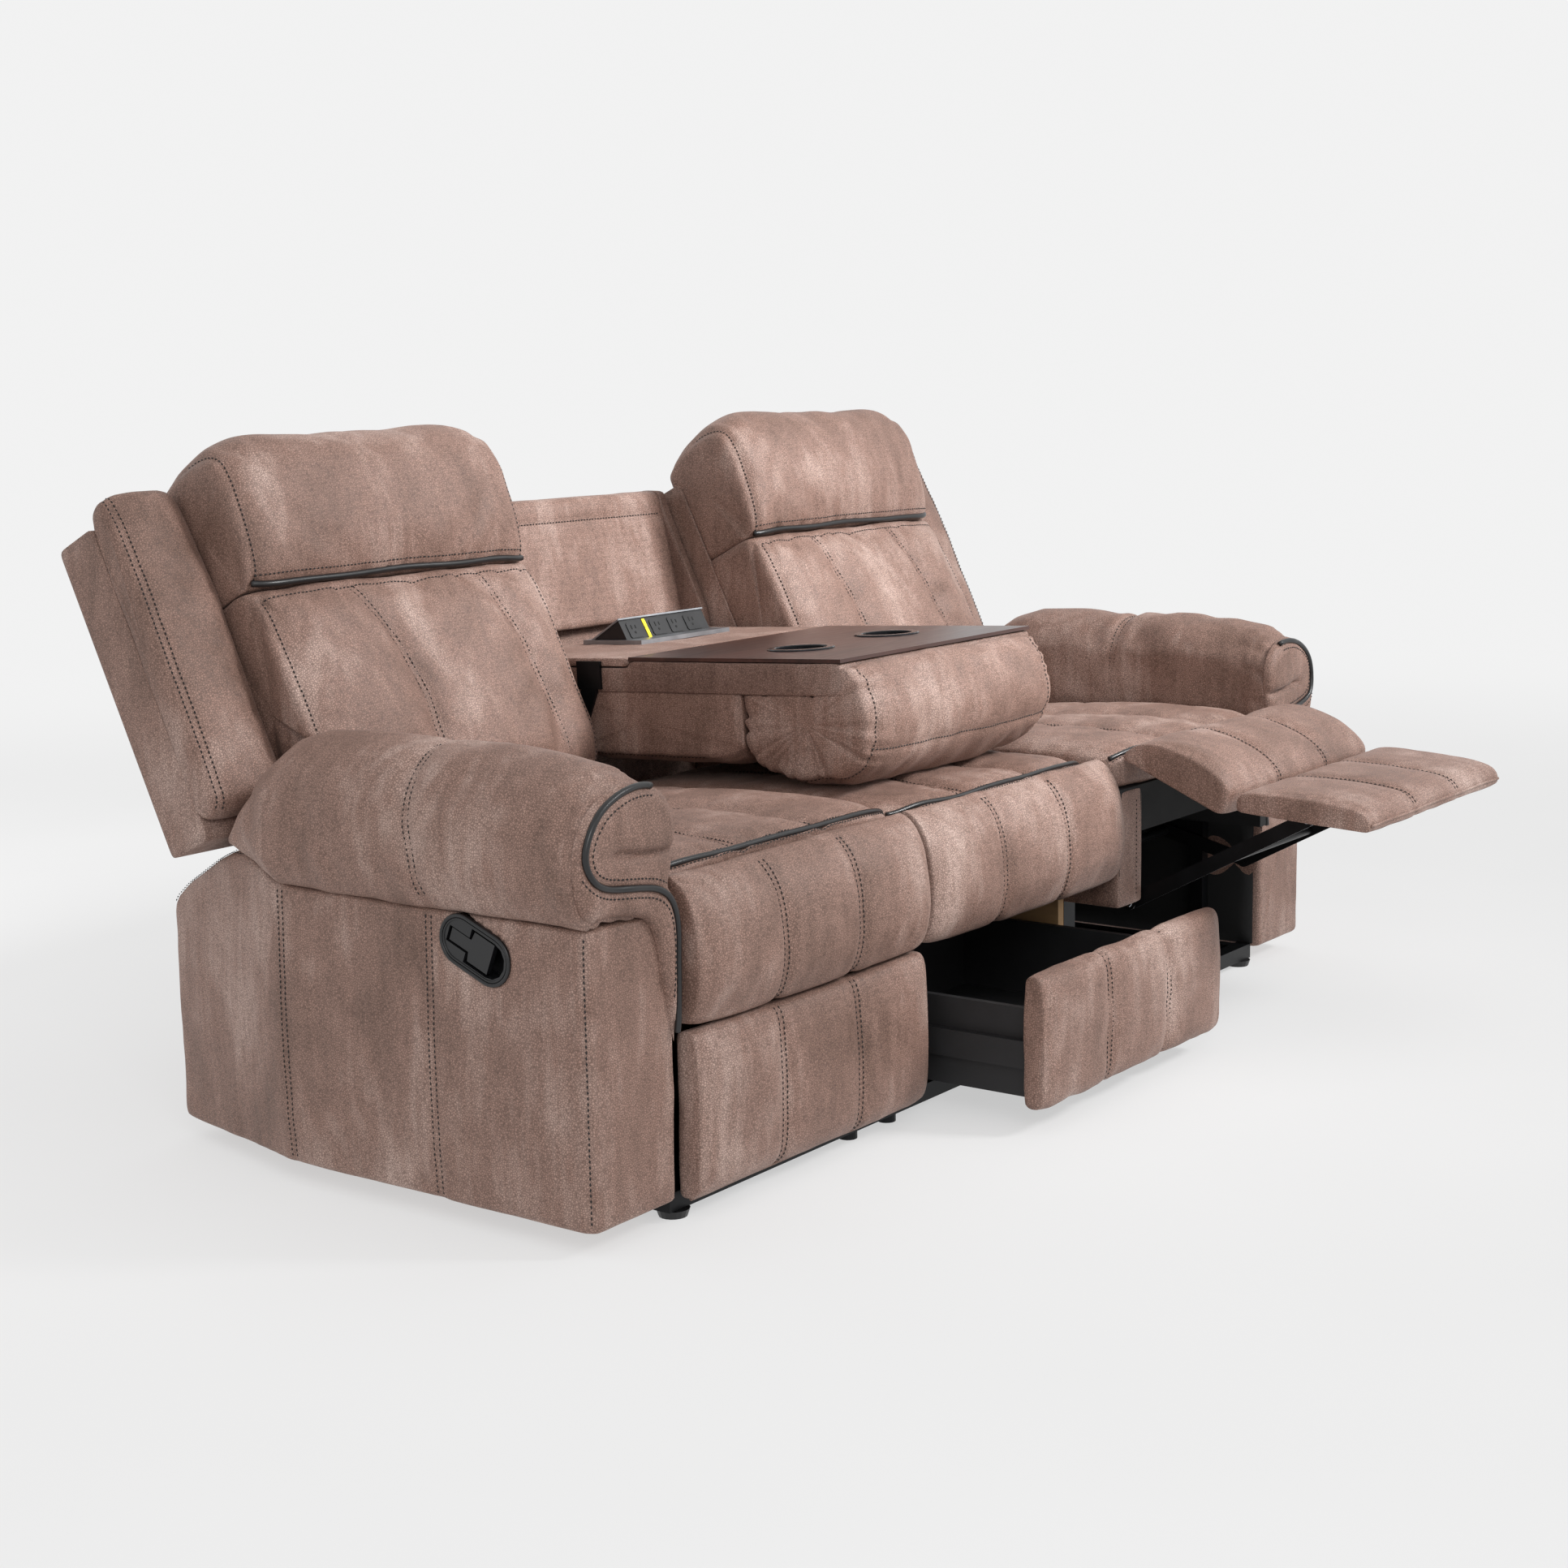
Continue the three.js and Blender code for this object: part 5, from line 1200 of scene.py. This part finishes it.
# Room for the cup holders above a cushion of the console
def dented(skin):
    local = turned(skin.p, CONSOLE_PIVOT, -CONSOLE_TILT) - np.array([0, *CONSOLE_PIVOT])
    for x, y in CUPS:
        near = (np.abs(local[..., 0] - x) < CUP_ROOM) & (np.abs(local[..., 1] - y) < CUP_ROOM)
        local[..., 2] = np.where(near & (local[..., 2] > CUP_FLOOR), CUP_FLOOR, local[..., 2])
    skin.p = on_console(*np.moveaxis(local, -1, 0))
    return skin


def under_cushion():
    section = outline(UNDER_SIDE, UNDER_BOX)
    skin = cushion(section, (-136.5, 56.7), *CONSOLE, (1, 18, 16, 1), on_console, SEAMS, 4.0)
    low, rear = skin.share_of(34.6, -66), skin.share_of(-255.76, -60)
    seams = channel_seams(*CONSOLE, low, rear)
    ends = [[(x, low), (x, rear)] for x in (-278, 278)]
    yield skin, "console_under", held(skin, [*seams, *ends], [(1, 56.7, -1)]), 4.0, 0.04, 8.0
    skin.push(lumps(skin, 15, 1.8, 3.0) + gathers(skin, low, 20, 5.0, 60, 46, 1 if rear > low else -1))
    grooves(skin, [*seams, *ends], 4.0, 8.0)
    soft(dented(skin), "console_under_cover", "console", "console_cushion")
    sew(skin, "console_under_stitches", "console", seams)
    sew(skin, "console_under_end_stitches", "console", ends, ONE_ROW)


def end_pillow():
    section = outline(END_SIDE, END_BOX) + [(-553.3, 104), (-553.3, 56.7), (-350, 56.7)]
    skin = cushion(section, (-500.0, 40.0), *CONSOLE, (22, 1, 22, 5), on_console)
    top, low, front = (skin.share_of(*spot) for spot in ((-563, 104), (-414.25, -90), (-599.29, -40)))
    ends = [[(x, low), (x, front), (x, top)] for x in (-270, 270)]
    edge = [(-274, front), (274, front)]
    weight = held(skin, [*ends, edge], [(1, 50.0, -1)])
    free = (skin.section[:, 1] > 50) & (skin.section[:, 0] < -556)
    weight = np.maximum(np.where(free, np.minimum(weight, 0.0), weight), held_ends(skin))
    yield skin, "console_pillow", weight, 4.0, 0.03, 8.0
    x = skin.lengths()
    fade = np.exp(-(x + 270).clip(0) / 34) + np.exp(-(270 - x).clip(0) / 34)
    pleats = -8.5 * ridges(skin.arounds() * 36, x / 300, 22) * fade
    skin.push(lumps(skin, 16, 2.0, 3.4) + pleats + groove(skin, edge, 4.0, 9.0))
    grooves(skin, ends, 4.0, 8.0)
    soft(dented(skin), "console_pillow_cover", "console", "console_pillow")
    sew(skin, "console_pillow_stitches", "console", [edge, *ends], ONE_ROW)


def console_covers():
    skin = cushion(BAND_SECTION, (-240, 80.0), -293.6, 293.6, (2, 2, 0, 1), on_console)
    skin.push(lumps(skin, 23, 0.5, 0.8))
    turns = [k * math.pi / 24 for k in range(48)]
    ring = np.array([(WELL_RADIUS * math.cos(turn), WELL_RADIUS * math.sin(turn)) for turn in turns])
    wells = [prism(ring + np.array(cup), 20, 130, on_console) for cup in CUPS]
    name = "console_band_cover"
    add(carved(skin.mesh(name), wells), name, "console", LEATHER_SHADE, "leather", "console_frame", fill=0.9)
    skin = cushion(LEDGE_SECTION, (48.0, 103.0), -292.6, 292.6, 2, on_console, grain=min(GRAIN, 6.0))
    skin.push(lumps(skin, 24, 0.5, 0.6) * ((skin.section[:, 1] > 104) & (skin.section[:, 0] < 150))[None])
    room = prism(OUTLET_ROOM, 70, 140, on_console)
    name = "console_ledge_cover"
    add(carved(skin.mesh(name), [room]), name, "console", LEATHER, "leather", "console_ledge", fill=0.9)
    front = skin.share_of(-111.8, 104)
    sew(skin, "console_ledge_stitches", "console", [[(-286, front), (286, front)]], ONE_ROW)


# Fixed centre back: a recessed panel between two flanges
CENTRE_LEAN = math.tan(math.radians(13))


def centre_back():
    def at(z):
        return 1060 - (953 - z) * CENTRE_LEAN

    panel = [
        (955, 713), (1009, 938), (1018, 952), (1052, 953), (1059, 946), (at(716), 713), (972, 590), (884, 45),
        (872.5, 45), (960.5, 590), (at(712) - 14, 713),
    ]
    skin = cushion(panel, (1000.0, 760.0), -296.9, 296.9, 0.5, plain)
    skin.push(lumps(skin, 25, 0.8, 1.4))
    high = skin.share_of(1003, 914)
    seam = [(-290, high), (290, high)]
    skin.push(groove(skin, seam, 3.0, 9.0))
    soft(skin, "centre_back_cover", "base", "centre_back_panel")
    sew(skin, "centre_back_stitches", "base", [seam], ONE_ROW)
    high, low = skin.share_of(at(905), 905), skin.share_of(900, 140)
    rear = [[(-290, high), (290, high)], [(-150, high), (-150, low)], [(150, high), (150, low)]]
    sew(skin, "centre_back_rear_stitches", "base", rear)
    flange = [
        (852, 40.5), (884, 40.5), (884, 45), (972, 590), (at(716), 716), (1060, 953), (1010, 953), (1000, 921),
        (905, 722), (852, 440),
    ]
    for sign, side in ((-1, "left"), (1, "right")):
        trim = cushion(flange, (950.0, 560.0), sign * 297.2, sign * 314, 4, plain)
        trim.push(lumps(trim, 26, 0.4, 0.6))
        soft(trim, f"centre_back_{side}_flange", "base", finish=LEATHER_SHADE)


# Upholstered end of each seat's inner rail
def seat_block(side):
    section = [(44.3, 226), (205, 226), (205, 439.8), (44.3, 439.8)]
    skin = cushion(section, (125.0, 340.0), 316.4, 403.0, 3, side_place(side, plain, open_seat), grain=4.0)
    seam = [(380, skin.share_of(44.3, 420)), (380, skin.share_of(44.3, 240))]
    skin.push(lumps(skin, 27, 0.5, 0.7) * 0.5)
    skin.p[..., 1] = np.maximum(skin.p[..., 1], 44.1 - slide_of(side))
    soft(skin, f"{side}_seat_block", f"{side}_seat")
    sew(skin, f"{side}_seat_block_stitches", f"{side}_seat", [seam], ONE_ROW, lift=0.1)


# Black linings inside the arms and behind the seats, and a black sheet under the sofa that is partly a dust cover and
# partly painted shade darkening the underside
def sheet(name, corners, count, place, height, spacing, reach, wave, length, seed):
    part = plate(resample(corners, count), height, place, spacing, reach,
                 lambda a, b: wave * noise2(a / length, b / length, seed))
    build(name, [part], "base", LINING_AND_SHADE, "black_board")


def linings(side):
    sign = sign_of(side)
    corners = [(26, 40), (915, 40), (915, 370), (800, 440), (26, 448)]
    sheet(f"{side}_arm_lining", corners, 260, lambda y, z, rise: plain(sign * (922.9 - rise * 0.5), y, z),
          0.7, 30.0, 8.0, 0.4, 60, 6)
    corners = [(326, 387), (908, 387), (908, 456), (326, 456)]
    sheet(f"{side}_rear_curtain", corners, 120, lambda x, z, rise: plain(sign * x, 854.0 - rise * 0.5, z),
          0.8, 24.0, 8.0, 0.5, 50, 8)


def underside():
    # A dark sheet just above the floor under the sofa: painted shade there, drawn as a dust cover
    corners = [(-912, 64), (912, 64), (912, 846), (-912, 846)]
    sheet("underside_shade_lining", corners, 300, lambda x, y, rise: plain(x, y, 12.2 + rise * 0.4),
          0.8, 40.0, 10.0, 0.3, 70, 3)


# Domed pin heads, turned about the crosswise axis
PIN_RADIUS, PIN_HEIGHT, PIN_SIDES = 7.5, 3.2, 20
DOME = [(1.0, 0.0), (1.0, 0.35), (0.9, 0.7), (0.6, 0.93), (0.3, 1.0)]


def dome(x, y, z, sign):
    points, faces = [], []
    for share, rise in DOME:
        for angle in np.arange(PIN_SIDES) / PIN_SIDES * 2 * np.pi:
            out = share * PIN_RADIUS
            points.append((x + sign * rise * PIN_HEIGHT, y + out * math.cos(angle), z + out * math.sin(angle)))
    for k in range(len(DOME) - 1):
        faces += band(ring_of(k, PIN_SIDES), ring_of(k + 1, PIN_SIDES))
    faces += [list(ring_of(len(DOME) - 1, PIN_SIDES)), list(range(PIN_SIDES))[::-1]]
    return np.array(points), faces


LINK_ROOT = (305.0, 275.0)
LINK_TIP = (37.6, 183.5)
LOWER_LINK, UPPER_LINK = 239.0, 390.0


def elbow_for(tip, root):
    reach = math.hypot(tip[0] - root[0], tip[1] - root[1])
    uy, uz = (tip[0] - root[0]) / reach, (tip[1] - root[1]) / reach
    along = (LOWER_LINK ** 2 - UPPER_LINK ** 2 + reach ** 2) / (2 * reach)
    away = math.sqrt(LOWER_LINK ** 2 - along ** 2)
    return root[0] + along * uy - away * uz, root[1] + along * uz + away * uy


def pins(side):
    sign = sign_of(side)
    tip = np.array([0.0, *LINK_TIP])
    if side == OPENED:
        tip = open_footrest(tip)
    tip = (tip[1], tip[2])
    root = (LINK_ROOT[0] - slide_of(side), LINK_ROOT[1])
    elbow = elbow_for(tip, root)
    heads = (
        ("lower_linkage", elbow, 404.5, -1), ("lower_linkage", elbow, 881.5, 1), ("upper_linkage", tip, 410.0, -1),
        ("upper_linkage", tip, 876.0, 1), ("lower_linkage", root, 404.5, -1), ("footrest", tip, 420.5, 1),
        ("footrest", tip, 865.5, -1),
    )
    for number, (body, (y, z), x, facing) in enumerate(heads):
        part = dome(sign * x, y, z, sign * facing)
        build(f"{side}_pin_head_{number}", [part], f"{side}_{body}", CHROME, "bright_steel")


# Outlet: a silver lid, a yellow stripe and generic sockets on the slanting face, their slots painted black as shade
OUTLET_HINGE, OUTLET_LID, OUTLET_FOOT = (154.0, 116.0), (88.5, 154.0), (68.0, 115.0)


def slab(x0, x1, v0, v1, w0, w1, place, corner=1.2):
    edge = [
        (x0 + corner, v0), (x1 - corner, v0), (x1, v0 + corner), (x1, v1 - corner), (x1 - corner, v1),
        (x0 + corner, v1), (x0, v1 - corner), (x0, v0 + corner),
    ]
    return prism(edge, w0, w1, place)


def slanted(end, turn):
    start = OUTLET_LID
    along = np.array([end[0] - start[0], end[1] - start[1]])
    length = np.linalg.norm(along)
    along /= length
    out = np.array([-turn * along[1], turn * along[0]])

    def made(x, v, w):
        return on_console(x, start[0] + along[0] * v + out[0] * w, start[1] + along[1] * v + out[1] * w)
    return made, length


def outlet_details():
    face, tall = slanted(OUTLET_FOOT, -1)
    cover, long = slanted(OUTLET_HINGE, 1)

    def trim(name, parts, finish, slot="black_plastic"):
        build(name, parts, "outlet", finish, slot, smooth=False)

    trim("outlet_lid", [slab(-79, 169, -3.5, long + 1, 0.2, 3.4, cover)], SILVER, "silver_trim")
    trim("outlet_stripe", [slab(-14, -6, 2, tall - 3, 0.1, 1.3, face)], YELLOW)
    frames = ((-62, -26), (4, 44), (56, 92), (104, 148))
    trim("outlet_plates", [slab(*frame_ends, 6, tall - 7, 0.1, 1.5, face, 3.0) for frame_ends in frames], PLASTIC)
    # The socket slots are thin black slabs on the face: painted shade in place of holes
    slots = []
    for x in (-52, 16, 66, 116):
        slots += [slab(x, x + 2.6, 11, 20, 1.5, 2.0, face, 0.5), slab(x + 11, x + 13.6, 12, 19, 1.5, 2.0, face, 0.5),
                  slab(x + 4.5, x + 9.0, 24, 29, 1.5, 2.0, face, 1.5)]
    trim("outlet_slots", slots, SLOT_SHADE)


LOOSE = []
for SIDE in ("left", "right"):
    LOOSE += [
        seat_cushion(SIDE, RECLINER, 72, f"{SIDE}_seat", f"{SIDE}_seat_cushion", f"{SIDE}_seat"),
        lumbar_cushion(SIDE), head_pillow(SIDE), back_wing(SIDE),
        chaise_pad(SIDE, PADS, f"{SIDE}_chaise", f"{SIDE}_chaise_pad", f"{SIDE}_chaise"),
        footrest_pad(SIDE), arm_roll(SIDE),
    ]
LOOSE += [
    seat_cushion("centre", CENTRE, 60, "centre_seat", "centre_seat_cushion", "base", cap=9.0),
    chaise_pad("centre", CENTRE, "centre_pad", "centre_front_pad", "base"),
    drawer_cover(), under_cushion(), end_pillow(),
]
settle(LOOSE)

for SIDE in ("left", "right"):
    for piece in (arm_box, scroll_panel, back_shell, lever_trim, seat_block, linings, pins):
        piece(SIDE)
console_covers()
centre_back()
outlet_details()
underside()

NODE_FINISH = {
    "lever": PLASTIC, "foot": PLASTIC, "rails": STEEL, "link": STEEL, "bracket": STEEL, "front_rail": STEEL,
    "mount": STEEL, "hinge": STEEL, "slide": CHROME, "holder": RIM, "seat_box": PLYWOOD, "console_top": LAMINATE,
    "drawer_box": BOARD, "outlet_frame": SILVER, "outlet_box": PLASTIC, "seat_frame": LINING_AND_SHADE,
}
for name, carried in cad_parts.items():
    finish = next((made for key, made in NODE_FINISH.items() if key in name), LEATHER_SHADE)
    for place in carried.material_slots:
        place.material = finish
    if not carried.material_slots:
        carried.data.materials.append(finish)


# Camera, floor and lights
FRAME_PIXELS, FOCAL_PIXELS, SENSOR = 1932, 3104.1, 36
CAMERA_SPOT = (-3567.7, -2133.4, 1189.5)
CAMERA_ANGLES = (53.6, 9.4, -1.0)
BACKDROP = 0.885
FLOOR_GLOW = 0.54
FLOOR_HALF = 60
WHITE = (1, 1, 1, 1)


def camera():
    yaw, pitch, roll = (math.radians(v) for v in CAMERA_ANGLES)
    forward = Vector((math.sin(yaw) * math.cos(pitch), math.cos(yaw) * math.cos(pitch), -math.sin(pitch)))
    right = Vector((math.cos(yaw), -math.sin(yaw), 0))
    up = right.cross(forward)
    across = right * math.cos(roll) + up * math.sin(roll)
    upward = up * math.cos(roll) - right * math.sin(roll)
    made = linked("camera", bpy.data.cameras.new("camera"))
    spot = Vector(row(np.array(CAMERA_SPOT)))
    made.matrix_world = Matrix.Translation(spot) @ Matrix((across, upward, -forward)).transposed().to_4x4()
    made.data.sensor_width = SENSOR
    made.data.lens = FOCAL_PIXELS / FRAME_PIXELS * SENSOR
    made.data.clip_start = 0.05
    bpy.context.scene.camera = made


def floor():
    made, tree, shader = material("pale_floor", Roughness=1.0, Specular_IOR_Level=0.0, Emission_Color=WHITE,
                                  Emission_Strength=FLOOR_GLOW)
    link = tree.links.new
    spot = mapped(tree)
    tone = ramp(tree, noise(tree, spot, 1.5), [(0.3, grey(0.30)), (0.7, grey(0.31))])
    link(tone, shader.inputs["Base Color"])
    length = node(tree, "ShaderNodeVectorMath", operation="LENGTH")
    link(spot, length.inputs[0])
    share = node(tree, "ShaderNodeMapRange", in_1=2.6, in_2=6.5, interpolation_type="SMOOTHERSTEP")
    link(length.outputs["Value"], share.inputs[0])
    far = node(tree, "ShaderNodeEmission", in_Strength=BACKDROP)
    blend = tree.nodes.new("ShaderNodeMixShader")
    for k, source in enumerate((share, shader, far)):
        link(source.outputs[0], blend.inputs[k])
    link(blend.outputs[0], tree.nodes["Material Output"].inputs["Surface"])
    mesh = bpy.data.meshes.new("floor")
    corners = [(x * FLOOR_HALF, y * FLOOR_HALF, 0) for x, y in ((-1, -1), (1, -1), (1, 1), (-1, 1))]
    mesh.from_pydata(corners, [], [[0, 1, 2, 3]])
    mesh.materials.append(made)
    linked("floor", mesh)


def light(name, spot, target, size, power, spread=180.0):
    made = linked(name, bpy.data.lights.new(name, "AREA"))
    made.data.shape, made.data.size, made.data.energy = "SQUARE", size, power
    made.data.spread = math.radians(spread)
    made.location = spot
    made.rotation_euler = (Vector(target) - Vector(spot)).to_track_quat("-Z", "Y").to_euler()


def studio():
    world = bpy.data.worlds.new("studio")
    world.use_nodes = True
    background = world.node_tree.nodes["Background"]
    background.inputs["Color"].default_value = WHITE
    background.inputs["Strength"].default_value = BACKDROP
    bpy.context.scene.world = world
    light("key", (1.7, -3.4, 3.5), (0.35, 0.1, 0.95), 1.5, 19.5, 36)
    light("fill", (-3.4, -3.0, 2.6), (-0.5, 0.1, 0.8), 1.6, 40)
    bpy.context.scene.view_settings.view_transform = "Standard"


camera()
floor()
studio()
